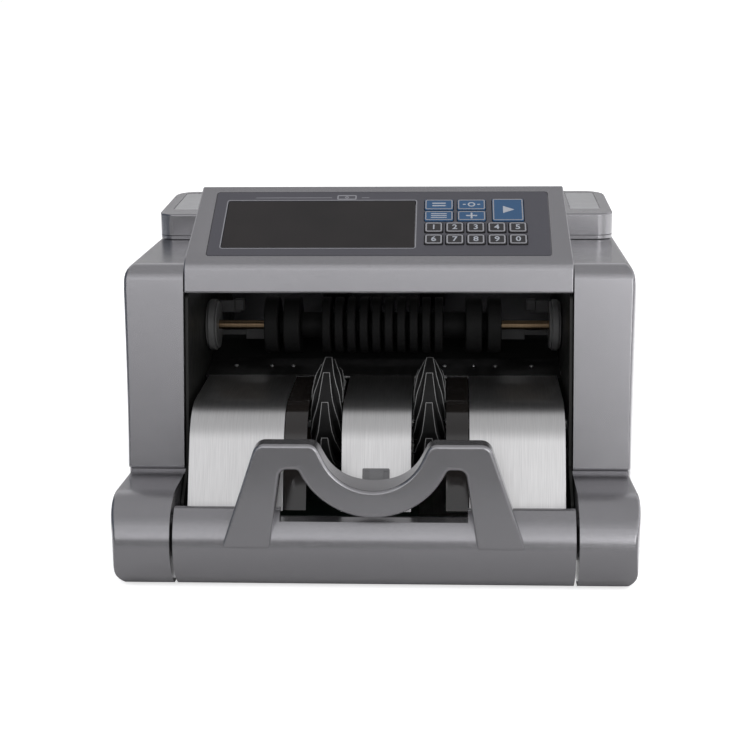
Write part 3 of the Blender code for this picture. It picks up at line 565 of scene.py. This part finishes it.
def control_panel_cover():
    """Cover over the mouth: front beam, sloping keypad bed and the shelf of the gap knob."""
    meet_z = 153.4
    outer = [(MOUTH_TOP.x, MOUTH_TOP.y, 1.0), (face_y(meet_z), meet_z, 9),
             (PANEL_BACK_Y, slope_z(PANEL_BACK_Y), 2.2), (PANEL_BACK_Y, 138.5, 0)]
    inner = [(MOUTH_TOP.x + 2.6, 130, 0), (face_y(meet_z, 2.6), meet_z - 2.2, 7),
             (PANEL_BACK_Y - WALL, slope_z(PANEL_BACK_Y - WALL, 2.8), 0), (PANEL_BACK_Y - WALL, 130, 0)]
    cover = prism("panel_cover", [rounded(outer, 6)], -99.7, 99.7, edge=0.9)
    hollow = prism("hollow", [rounded(inner)], -97.0, 97.0)
    cover = combine(cover, hollow)
    cover = combine(cover, prism("shelf", [rectangle(-9, 9, PANEL_BACK_Y - 1.5, 27, 3)], 160.5, 164, "xy"),
                    "UNION")
    lip = block("lip", (-96.5, 96.5), (PANEL_BACK_Y - WALL + 0.2, PANEL_BACK_Y - 0.2), (THROAT_Z, 141), 0.4)
    cover = combine(cover, lip, "UNION")
    slice_grid(cover, 2, (152, 158, 164, 170, 176, 182))

    def draft(point):
        shrink = 1 - 0.024 * max(point.z - 152, 0) / 33
        return Vector((point.x * shrink, point.y, point.z))

    reshape(cover, draft)
    rim = rectangle(-OVERLAY_HALF - GAP, OVERLAY_HALF + GAP, -GAP, OVERLAY_LENGTH + GAP, 2.0)
    cover = combine(cover, prism("bed", [rim], -1.1, 6, "xy", matrix=PANEL))
    for opening in (rectangle(-80, 17, 8.5, 46.5), rectangle(22, 78, 7.5, 50)):
        cover = combine(cover, prism("opening", [opening], -8, 4, "xy", matrix=PANEL))
    soften(cover, 0.3, 2, lambda point: abs(point.z - slope_z(point.y)) < 0.25, 55)
    finish_piece(cover, SILVER, "chassis", ["control_panel_cover"])


# ------------------------------------------------------------------ keypad and display
def key_places():
    """Every key of the panel as name: (left, right, bottom, top)."""
    places = {"start_key": START_KEY}
    for row, (bottom, top) in FUNCTION_ROWS.items():
        for column, (left, right) in zip(("left", "right"), FUNCTION_COLUMNS):
            places[f"{row}_{column}_function_key"] = (left, right, bottom, top)
    for digits, (bottom, top) in DIGIT_ROWS.items():
        for index, digit in enumerate(digits):
            left = DIGIT_LEFT + index * DIGIT_PITCH
            places[f"digit_key_{digit}"] = (left, left + DIGIT_WIDTH, bottom, top)
    return places


def ring_of(outline_place, width, radius):
    """Outer and inner outlines of a printed frame round a rectangle."""
    left, right, bottom, top = outline_place
    outside = rectangle(left - width, right + width, bottom - width, top + width, radius + width)
    return [outside, rectangle(left, right, bottom, top, radius)]


def printed(name, shapes, level, height=0.05):
    """Raised ink on the panel: every shape is a list of outlines."""
    marks = [prism(f"{name}_{index}", outlines, level, level + height, "xy", matrix=PANEL)
             for index, outlines in enumerate(shapes)]
    return join(name, marks)


def symbol(name, centre, size):
    """Generic sign of a function key, as outlines."""
    x, y = centre
    bar = 0.5
    if name == "start_key":
        return [[[Vector((x - 2.6, y - 3.2)), Vector((x + 3.4, y)), Vector((x - 2.6, y + 3.2))]]]
    if name == "upper_left_function_key":
        return [[rectangle(x - 3.6, x + 3.6, y + offset - bar, y + offset + bar, 0.4)]
                for offset in (-1.1, 1.1)]
    if name == "upper_right_function_key":
        return [[circle((x, y), 2.0), circle((x, y), 1.2)],
                [rectangle(x - 4.6, x - 3.0, y - 0.4, y + 0.4, 0.2)],
                [rectangle(x + 3.0, x + 4.6, y - 0.4, y + 0.4, 0.2)]]
    if name == "lower_left_function_key":
        return [[rectangle(x - 4.2, x + 4.2, y + offset - 0.35, y + offset + 0.35, 0.3)]
                for offset in (-1.7, 0, 1.7)]
    return [[rectangle(x - 3.0, x + 3.0, y - bar, y + bar, 0.4)],
            [rectangle(x - bar, x + bar, y + bar + 0.01, y + size, 0.4)],
            [rectangle(x - bar, x + bar, y - size, y - bar - 0.01, 0.4)]]


def digit_mark(digit, centre, level):
    """Digit of a key as thin raised ink."""
    text = bpy.data.curves.new("digit", "FONT")
    text.body = digit
    text.size = 5.6 * MM
    text.align_x = "CENTER"
    text.align_y = "CENTER"
    text.extrude = 0.03 * MM
    text.offset = 0.09 * MM
    source = add_object("digit_source", text)
    source.matrix_world = PANEL @ Matrix.Translation((centre[0] * MM, centre[1] * MM, (level + 0.03) * MM))
    return evaluated(source, f"digit_{digit}_mark")


def keypad():
    """Overlay with its printed frames, the smoked window and the fifteen keys."""
    places = key_places()
    holes = [rectangle(left - GAP, right + GAP, bottom - GAP, top + GAP, 0.9)
             for left, right, bottom, top in places.values()]
    left, right, bottom, top = SCREEN
    holes.append(rectangle(left - GAP, right + GAP, bottom - GAP, top + GAP, 1.2))
    rim = rectangle(-OVERLAY_HALF, OVERLAY_HALF, 0, OVERLAY_LENGTH, 1.8)
    overlay = prism("overlay", [rim, *holes], -0.75, 0.1, "xy", edge=0.12, segments=2, matrix=PANEL)
    finish_piece(overlay, OVERLAY, "chassis", ["panel_overlay"])
    frame_line = ring_of((left - 0.5, right + 0.5, bottom - 0.5, top + 0.5), 0.45, 1.2)
    finish_piece(printed("screen_frame", [frame_line], 0.1), PRINT, "chassis")
    title = [[rectangle(-49, -8, 50.75, 51.15, 0.15)], [rectangle(8, 12, 50.75, 51.15, 0.15)],
             [rectangle(-5.2, 5.2, 49.3, 53.3, 0.8), rectangle(-4.5, 4.5, 50.0, 52.6, 0.4)],
             [circle((0, 51.3), 1.0, 24), circle((0, 51.3), 0.5, 24)]]
    shifted = [[[point + Vector((-18.5, 0)) for point in line] for line in lines] for lines in title]
    finish_piece(printed("banknote_sign", shifted, 0.1), PRINT, "chassis")
    window = prism("window", [rectangle(*SCREEN, 0.9)], -0.75, 0.05, "xy", edge=0.1, segments=2, matrix=PANEL)
    finish_piece(window, GLASS, "chassis", ["display_window"])
    for name, (left, right, bottom, top) in places.items():
        digit = name[-1] if name.startswith("digit") else None
        look, slot = (KEY_BLACK, "black_key") if digit else (KEY_BLUE, "blue_key")
        body = f"{name}_body"
        key = prism(f"{name}_cap", [rectangle(left, right, bottom, top, 0.8)], -1.4, 0.75, "xy", edge=0.3,
                    matrix=PANEL)
        finish_piece(key, look, body, [name])
        centre = ((left + right) / 2, (bottom + top) / 2)
        width = 0.75 if digit else 0.6
        margin = ring_of((left + 0.3 + width, right - 0.3 - width, bottom + 0.3 + width, top - 0.3 - width),
                         width, 0.5)
        finish_piece(printed(f"{name}_frame", [margin], 0.74), PRINT, body)
        if digit:
            mark = digit_mark(digit, centre, 0.74)
        else:
            mark = printed(f"{name}_sign", symbol(name, centre, 2.6), 0.74)
        finish_piece(mark, PALE_PRINT, body)


# ------------------------------------------------------------------ hopper
def cap_z(y):
    """Height of the hopper caps' sloping tops at a depth."""
    return CAP_FRONT_Z + (y - HOPPER_FRONT_Y) * CAP_SLOPE


def hopper():
    """Frame round the note hopper with a shelf and a cap on each side, and the gap knob."""
    front, back = HOPPER_FRONT_Y, HOPPER_BACK_Y
    notch_y = PANEL_BACK_Y + 0.4
    ring = rectangle(-RING_OUTER, RING_OUTER, notch_y, 117.0, 1.0)
    well = rectangle(-HOPPER_INNER, HOPPER_INNER, notch_y - 9, 112.3, 1.0)
    housing = prism("hopper_ring", [ring], *RING_Z, "xy", edge=0.4)
    housing = combine(housing, prism("well", [well], 150, 163, "xy"))
    roof = [(front - 5, cap_z(front - 5)), (back + 5, cap_z(back + 5)), (back + 5, 150), (front - 5, 150)]
    incline = Matrix.Translation((0, front * MM, CAP_FRONT_Z * MM))
    incline = incline @ Matrix.Rotation(math.atan(CAP_SLOPE), 4, "X")
    for name, side in (("left", -1), ("right", 1)):
        outside = [(HOPPER_OUTER, front, 9), (HOPPER_OUTER, back, 12)]
        shelf = [(97.0, front, 0), *outside, (97.0, back, 0)]
        plan = [(100.0, front, 1.2), *outside, (100.0, back, 1.2)]
        if side < 0:
            shelf, plan = mirrored(shelf), mirrored(plan)
        shelf = prism("shelf", [rounded(shelf, 6)], RING_Z[0], SHELF_TOP_Z, "xy", edge=0.12, segments=1)
        housing = combine(housing, shelf, "UNION")
        cap = prism(f"{name}_cap", [rounded(plan, 6)], CAP_FOOT_Z, 178, "xy")
        cap = combine(cap, prism("roof", [roof], -140, 140), "INTERSECT")
        soften(cap, 1.6, 4, lambda point: point.z > 160, 60)
        across = sorted((103 * side, (HOPPER_OUTER - 3) * side))
        pocket = rectangle(*across, front + 3, back - 3, 6)
        cap = combine(cap, prism("pocket", [pocket], 150, CAP_FRONT_Z - 3, "xy"))
        label = rectangle(*sorted((104.5 * side, 121.5 * side)), 14, 64, 2.0)
        cap = combine(cap, prism("bed", [label], -0.4, 3, "xy", matrix=incline))
        finish_piece(cap, SILVER, "chassis", [f"{name}_hopper_cap"])
        inlay = rectangle(*sorted((104.8 * side, 121.2 * side)), 14.3, 63.7, 1.8)
        plate = prism(f"{name}_label", [inlay], -0.4, -0.1, "xy", edge=0.08, segments=2, matrix=incline)
        finish_piece(plate, LABEL, "chassis")
    finish_piece(housing, SILVER, "chassis", ["hopper_housing"])
    knob_line = [(164.35, 0), (164.35, 5.7), (164.7, 6.0), (171.6, 5.6), (172.3, 5.2), (172.7, 4.4),
                 (172.8, 3.2), (172.8, 0)]
    knob = turned("knob_cap", knob_line, (0, PANEL_BACK_Y + 7.7), "xy")
    for turn in range(20):
        angle = 2 * math.pi * turn / 20
        grip = circle((6.15 * math.cos(angle), PANEL_BACK_Y + 7.7 + 6.15 * math.sin(angle)), 0.45, 12)
        knob = combine(knob, prism("groove", [grip], 166, 174, "xy"))
    finish_piece(knob, BLACK, "knob", ["gap_knob"])


# ------------------------------------------------------------------ stacker and rotating pieces
CROWN = [(-92.0, 33.5), (-71.6, 82.0), (-5.0, 83.3)]
PLATE_BEND = 26.0
PLATE_HALF = 95.2


def sheet(thickness, start_z):
    """Outline of a sheet that leans back and then bends over to the horizontal."""
    start_y = CROWN[0][0] + (start_z - CROWN[0][1]) * 20.4 / 48.5
    top = [(start_y, start_z, 0), (*CROWN[1], PLATE_BEND), (*CROWN[2], 0)]
    under = [(CROWN[2][0], CROWN[2][1] - thickness, 0),
             (CROWN[1][0] + thickness * 0.6, CROWN[1][1] - thickness, PLATE_BEND - thickness),
             (start_y + thickness * 1.08, start_z, 0)]
    return rounded(top + under, 3)


def stacker():
    """Brushed plate with its two slots, sensor strips, and the black guide plate behind."""
    plate = prism("plate", [sheet(1.2, CROWN[0][1])], -PLATE_HALF, PLATE_HALF)
    for side in (-1, 1):
        plate = combine(plate, block("slot", sorted((17.6 * side, 46.9 * side)), (-100, -8.2), (30, 100)))
    soften(plate, 0.3, 2)
    finish_piece(plate, STEEL, "chassis", ["stacker_plate"])
    for name, side in (("left", -1), ("right", 1)):
        strip = prism(f"{name}_strip", [sheet(1.6, 34.0)], *sorted((35.2 * side, 46.5 * side)))
        strip = combine(strip, block("strip_end", (-50, 50), (-8.2 - GAP, 0), (70, 100)))
        soften(strip, 0.25, 2)
        finish_piece(strip, STRIP, "chassis", [f"{name}_sensor_strip"])
    guide = [(-4.3, 82.6, 0), (22, 86.6, 6), (36, 94.5, 6), (41, 104, 0),
             (42.4, 103.2, 0), (37.2, 93.2, 6), (22.4, 85.0, 6), (-4.3, 80.9, 0)]
    made = prism("guide", [rounded(guide, 4)], -97.4, 97.4)
    soften(made, 0.3, 2)
    finish_piece(made, BLACK, "chassis", ["guide_plate"])


def sleeve(bore, rings, edge=0.0):
    """Closed profile of a bored roller: rings are (from, to, radius) along its length."""
    outside = []
    for low, high, radius in rings:
        corner = edge if high - low > 3 * edge else 0
        outside += [(low, radius - corner), (low + corner, radius), (high - corner, radius),
                    (high, radius - corner)] if corner else [(low, radius), (high, radius)]
    return [(rings[0][0], bore), *outside, (rings[-1][1], bore)]


def painted_highlight_rims(wheel):
    """Split a narrow rim off the outward face of every fin for the second material, a light grey painted
    highlight on the fin edges.
    """
    work = bmesh.new()
    work.from_mesh(wheel.data)
    axis = Vector((0, *IMPELLER)) * MM
    outward = []
    for face in work.faces:
        spoke = face.calc_center_median() - axis
        spoke.x = 0
        if spoke.length > 20 * MM and face.normal.dot(spoke.normalized()) > 0.7:
            outward.append(face)
    rims = bmesh.ops.inset_region(work, faces=outward, thickness=0.35 * MM, use_even_offset=True)
    for face in rims["faces"]:
        face.material_index = 1
    work.to_mesh(wheel.data)
    work.free()


def impellers():
    """Two finger wheels with curved, pointed fins that narrow towards their tips."""
    for name, centre in (("left", -26.5), ("right", 26.5)):
        sweep = [(11, 1.90), (13.5, 1.70), (16.5, 1.48), (19.2, 1.30), (22, 1.12), (24.9, 0.95), (27.5, 0.78),
                 (29.6, 0.62), (31.2, 0.47), (32.6, 0.32), (33.7, 0.19), (34.5, 0.08), (35, 0.0)]
        back = [(radius - 1.7, angle) for radius, angle in reversed(sweep[2:-1])] + [(11, 1.76)]
        outline = []
        for fin in range(12):
            base = math.pi - math.radians(2) - fin * math.pi / 6
            for radius, angle in sweep + back:
                outline.append(Vector((IMPELLER[0] + radius * math.cos(base + angle),
                                       IMPELLER[1] + radius * math.sin(base + angle))))
        wheel = prism(f"{name}_wheel", [outline, circle(IMPELLER, 3.35)], centre - 8.2, centre + 8.2)
        rim = [(9, 0), (9, 20), (6.6, 27.5), (3.6, 31.5), (1.5, 35.5), (1.2, 37)]
        profile = [(centre - half, radius) for half, radius in rim]
        profile += [(centre + half, radius) for half, radius in reversed(rim)]
        wheel = combine(wheel, turned("taper", profile, IMPELLER, steps=72), "INTERSECT")
        painted_highlight_rims(wheel)
        finish_piece(wheel, FIN_RUBBER, "impeller", [f"{name}_impeller"], 30)
        # Second material: the light grey painted highlight on the fins' rims.
        wheel.data.materials.append(FIN_PAINTED_HIGHLIGHT)


def rollers():
    """Ribbed transport roller, its white end discs, painted dark grey as shade inside the machine, and the two
    feed rollers.
    """
    rings = [(-65, -57.5), (-54.5, -45.5)]
    rings += [(-33.2 + 6.85 * rib, -33.2 + 6.85 * rib + 4.6) for rib in range(10)]
    rings += [(45.5, 54.5), (57.5, 65)]
    steps = []
    for index, (low, high) in enumerate(rings):
        steps.append((low, high, 15.5))
        if index + 1 < len(rings):
            steps.append((high, rings[index + 1][0], 7.0))
    roller = turned("ribbed_roller", sleeve(2.85, steps, 0.5), TRANSPORT)
    finish_piece(roller, RUBBER, "transport", ["transport_roller"])
    for name, low in (("left", -97.5), ("right", 91.5)):
        steps = [(low, low + 1.2, 13.2), (low + 1.2, low + 4.8, 14.2), (low + 4.8, low + 6, 13.2)]
        disc = sleeve(2.85, steps, 0.4)
        finish_piece(turned(f"{name}_disc", disc, TRANSPORT), DISC_PAINTED_SHADE, "transport", [f"{name}_end_disc"])
    for name, centre in (("left", -27), ("right", 27)):
        low = centre - 7
        treads = [(low + 2 * step, low + 2 * step + 1.5, 16.0) for step in range(7)]
        steps = []
        for tread in treads:
            steps += [tread, (tread[1], tread[0] + 2, 15.3)]
        finish_piece(turned(f"{name}_pick_roller", sleeve(3.35, steps, 0.2), FEED), RUBBER, "feed",
                     [f"{name}_feed_roller"])


# ------------------------------------------------------------------ camera, floor and lights
def camera():
    """Camera a little to the right of the machine, looking down at it and slightly to the left."""
    turn, down, roll = -0.0490, 0.2351, -0.0083
    forward = Vector((math.sin(turn) * math.cos(down), math.cos(turn) * math.cos(down), -math.sin(down)))
    right = Vector((math.cos(turn), -math.sin(turn), 0))
    up = right.cross(forward)
    right, up = (right * math.cos(roll) + up * math.sin(roll), up * math.cos(roll) - right * math.sin(roll))
    data = bpy.data.cameras.new("camera")
    data.sensor_width = 36.0
    data.lens = 76.8
    data.clip_start = 0.01
    data.clip_end = 100.0
    made = bpy.data.objects.new("camera", data)
    SCENE.collection.objects.link(made)
    turned_to = Matrix((right, up, -forward)).transposed().to_4x4()
    made.matrix_world = Matrix.Translation((0.0377, -0.8558, 0.2873)) @ turned_to
    SCENE.camera = made


def area_light(name, place, target, size, power, colour=(1, 1, 1)):
    data = bpy.data.lights.new(name, "AREA")
    data.shape = "RECTANGLE"
    data.size, data.size_y = size
    data.energy = power
    data.color = colour
    made = bpy.data.objects.new(name, data)
    SCENE.collection.objects.link(made)
    made.location = place
    made.rotation_euler = (Vector(target) - Vector(place)).to_track_quat("-Z", "Y").to_euler()
    return made


def plain_paint(name, colour, roughness=0.9, glow=0.0):
    made = bpy.data.materials.new(name)
    made.use_nodes = True
    shader = made.node_tree.nodes["Principled BSDF"]
    shader.inputs["Base Color"].default_value = (*colour, 1)
    shader.inputs["Roughness"].default_value = roughness
    shader.inputs["Emission Color"].default_value = (1, 1, 1, 1)
    shader.inputs["Emission Strength"].default_value = glow
    return made


def sheet_of(name, half_size, place, look, turn=0.0, axis="Y"):
    """Flat studio sheet, turned about one axis."""
    mesh = bpy.data.meshes.new(name)
    work = bmesh.new()
    bmesh.ops.create_grid(work, x_segments=1, y_segments=1, size=1.0)
    bmesh.ops.scale(work, vec=(*half_size, 1), verts=work.verts)
    work.to_mesh(mesh)
    work.free()
    mesh.materials.append(look)
    made = add_object(name, mesh, Matrix.Translation(place) @ Matrix.Rotation(turn, 4, axis))
    return made


def studio():
    """Pale floor and backdrop, a sky that only reflections see, soft lights and dark cards."""
    SCENE.view_settings.view_transform = "Standard"
    world = bpy.data.worlds.new("studio")
    SCENE.world = world
    world.use_nodes = True
    nodes, links = world.node_tree.nodes, world.node_tree.links
    coordinates = nodes.new("ShaderNodeTexCoord")
    split = nodes.new("ShaderNodeSeparateXYZ")
    ramp = nodes.new("ShaderNodeValToRGB")
    links.new(coordinates.outputs["Generated"], split.inputs[0])
    links.new(split.outputs["Z"], ramp.inputs["Fac"])
    stops = ((0.0, 0.02), (0.06, 0.04), (0.11, 0.40), (0.16, 1.50), (0.28, 1.05), (0.50, 0.80), (0.65, 0.80),
             (0.75, 0.50), (0.87, 0.44), (1.0, 0.48))
    ramp.color_ramp.elements[0].position = stops[0][0]
    ramp.color_ramp.elements[1].position = stops[-1][0]
    for position, _ in stops[1:-1]:
        ramp.color_ramp.elements.new(position)
    for element, (_, value) in zip(ramp.color_ramp.elements, stops):
        element.color = (value, value, value * 1.02, 1)
    backdrop = nodes.new("ShaderNodeMix")
    backdrop.data_type = "RGBA"
    backdrop.inputs[7].default_value = (1, 1, 1, 1)
    links.new(nodes.new("ShaderNodeLightPath").outputs["Is Camera Ray"], backdrop.inputs[0])
    links.new(ramp.outputs["Color"], backdrop.inputs[6])
    background = nodes["Background"]
    links.new(backdrop.outputs[2], background.inputs["Color"])
    background.inputs["Strength"].default_value = 1.0
    sheet_of("floor", (60, 60), (0, 0, 0), plain_paint("floor_paint", (0.92, 0.92, 0.92), 0.9, 0.60))
    dark = plain_paint("card_paint", (0.02, 0.02, 0.02))
    blue = plain_paint("blue_card_paint", (0.03, 0.05, 0.08))
    upright = math.radians(90)
    grey = plain_paint("grey_card_paint", (0.40, 0.40, 0.40))
    for card in (sheet_of("near_card", (0.9, 0.10), (0, -0.20, 0.0006), grey),
                 sheet_of("front_card", (0.9, 0.15), (0, -0.45, 0.0006), dark),
                 sheet_of("front_wall", (0.6, 0.07), (-0.45, -0.82, 0.07), dark, upright, "X"),
                 sheet_of("back_card", (1.4, 0.27), (0, 1.1, 0.35), grey, upright, "X"),
                 sheet_of("left_card", (0.7, 0.9), (-0.9, -0.2, 0.5), blue, upright)):
        card.visible_camera = False
        card.visible_shadow = False
        card.visible_diffuse = False
    key = area_light("key_light", (0.25, -0.75, 0.95), (0, 0, 0.08), (0.9, 0.5), 4)
    key.visible_glossy = False
    area_light("right_light", (0.62, -1.25, 0.36), (0, -0.02, 0.1), (0.45, 0.3), 1.3)


# ------------------------------------------------------------------ mechanism and rear, from the CAD shapes
def carried(node, look, body, edge=0.3, angle=40):
    """A CAD piece with clean faces, rounded edges and its finish."""
    finish_piece(from_cad(node, f"{node}_fine", edge), look, body, [node], angle)


def screws(name, places, plane, level, radius, look, body="chassis", matrix=None):
    """Row of pan-head screws with a cross recess; places are in the plane, level is their seat."""
    heads = []
    for index, place in enumerate(places):
        head = prism(f"{name}_{index}", [circle(place, radius, 24)], level, level + radius * 0.55, plane,
                     edge=radius * 0.3, matrix=matrix)
        for wide, tall in ((radius * 0.55, radius * 0.14), (radius * 0.14, radius * 0.55)):
            cross = rectangle(place[0] - wide, place[0] + wide, place[1] - tall, place[1] + tall)
            head = combine(head, prism("cross", [cross], level + radius * 0.3, level + radius, plane,
                                       matrix=matrix))
        heads.append(head)
    return finish_piece(join(name, heads), look, body)


def mechanism():
    """Frame plates, shafts, pulleys, belt, motor, transformer, boards and base plate."""
    for node in ("left_frame_plate", "right_frame_plate"):
        carried(node, DARK_STEEL, "chassis")
    carried("base_plate", STEEL, "chassis", 0.2)
    for place in ("front_left", "front_right", "rear_left", "rear_right"):
        carried(f"{place}_foot", RUBBER, "chassis", 0.6)
    ends = (-103, 110.9)
    for node, centre, radius, look, slot, body in (
            ("transport_shaft", TRANSPORT, 2.5, BRASS, "brass_shaft", "transport"),
            ("feed_shaft", FEED, 3.0, TURNED_STEEL, "brushed_steel", "feed")):
        flange = (10.0 if body == "transport" else 11.0) + 1.6
        line = [(ends[0], 0), (ends[0], radius - 0.4), (ends[0] + 0.4, radius), (103.1, radius),
                (103.1, flange - 0.3), (103.4, flange), (103.8, flange), (104.0, flange - 1.6),
                (111.0, flange - 1.6), (111.2, flange), (111.6, flange), (111.9, flange - 0.3),
                (111.9, radius), (113.6, radius), (114, radius - 0.4), (114, 0)]
        finish_piece(turned(f"{body}_rod", line, centre), look, body, [node])
    rod = [(-103, 0), (-103, 2.6), (-102.6, 3), (113.6, 3), (114, 2.6), (114, 0)]
    finish_piece(turned("impeller_rod", rod, IMPELLER), TURNED_STEEL, "impeller", ["impeller_shaft"])
    for node, body in (("impeller_pulley", "impeller"), ("motor_pulley", "motor")):
        carried(node, WHITE, body, 0.2)
    carried("drive_belt", RUBBER, "chassis", 0.2)
    carried("main_motor", DARK_STEEL, "chassis", 0.4)
    carried("transformer", COPPER, "chassis", 0.3)
    # The boards' near-black colour is painted shade.
    for node in ("main_board", "display_board"):
        carried(node, BOARD_PAINTED_SHADE, "chassis", 0.2)
    for node, body in (("hopper_tray", "chassis"), ("left_note_guide", "left_guide"),
                       ("right_note_guide", "right_guide")):
        carried(node, BLACK, body, 0.4)


def guide_details():
    """Screw heads along the guide plate, and the grey sensor block on the stacker plate."""
    lower = [(x, 14.0) for x in (-82, -62, -50, -34, 34, 50, 62, 82)]
    rise = math.atan2(4.0, 26.3)
    ramp = Matrix.Translation((0, -4.3 * MM, 82.6 * MM)) @ Matrix.Rotation(rise, 4, "X")
    screws("guide_screws", lower, "xy", 0.05, 1.3, TURNED_STEEL, matrix=ramp)
    lean = math.atan2(48.5, 20.4)
    plate = Matrix.Translation((0, CROWN[0][0] * MM, CROWN[0][1] * MM)) @ Matrix.Rotation(lean, 4, "X")
    body = prism("sensor_block", [rectangle(-6.8, 6.8, 13.6, 21.8, 0.6)], 0.02, 1.6, "xy", edge=0.4,
                 matrix=plate)
    for x in (-6.8, 2.8):
        cell = rectangle(x + 1.0, x + 3.4, 14.8, 20.6, 0.5)
        body = combine(body, prism("cell", [cell], 1.1, 3, "xy", matrix=plate))
    finish_piece(body, CHIP, "chassis")
    for name, side in (("left", -1), ("right", 1)):
        arm = block("arm", sorted((82 * side, 97.6 * side)), (30.8, 33.2), (111, 118), 0.4)
        head = block("head", sorted((79.6 * side, 85 * side)), (29.6, 34.4), (112.2, 118.6), 0.6)
        leaf = block("leaf", sorted((66 * side, 79 * side)), (31.0, 32.0), (95.5, 103.5), 0.3)
        tab = block("tab", sorted((78 * side, 97.6 * side)), (31.2, 32.2), (98, 101), 0.3)
        finish_piece(join(f"{name}_sensor_bracket", [arm, head, leaf, tab]), BRACKET, "chassis")


def rear():
    """Rear cover with its vents and screws, the mains inlet with three pins and the power rocker."""
    edge = rectangle(-99.6, 99.6, 8, 151.5, 2)
    holes = [rectangle(48, 76, 20, 40, 0.4), rectangle(51.5, 72.5, 46, 60, 1)]
    holes += [rectangle(-78 + 9 * slot, -74.5 + 9 * slot, 42, 76, 1.7) for slot in range(12)]
    cover = prism("rear_panel", [edge, *holes], 115.2, 117.6, "xz", edge=0.35)
    finish_piece(cover, SILVER, "chassis", ["rear_cover"])
    screws("rear_screws", [(x, z) for x in (-92, 92) for z in (16, 143)], "xz", 117.6, 2.6, TURNED_STEEL)
    foam = prism("dust_filter", [rectangle(-82, 28, 37, 81, 2)], 113.4, 114.9, "xz", edge=0.4)
    finish_piece(foam, RUBBER, "chassis")
    carried("power_inlet", BLACK, "chassis", 0.4)
    pins = [block(f"pin_{index}", (x - 1.0, x + 1.0), (101, 114), (z - 2.0, z + 2.0), 0.4)
            for index, (x, z) in enumerate(((62, 33.5), (55.6, 27.5), (68.4, 27.5)))]
    finish_piece(join("inlet_pins", pins), BRASS, "chassis")
    carried("power_rocker", BLACK, "rocker", 0.5)


side_panels()
front_base_cover()
note_stopper()
control_panel_cover()
keypad()
hopper()
stacker()
impellers()
rollers()
mechanism()
guide_details()
rear()
camera()
studio()
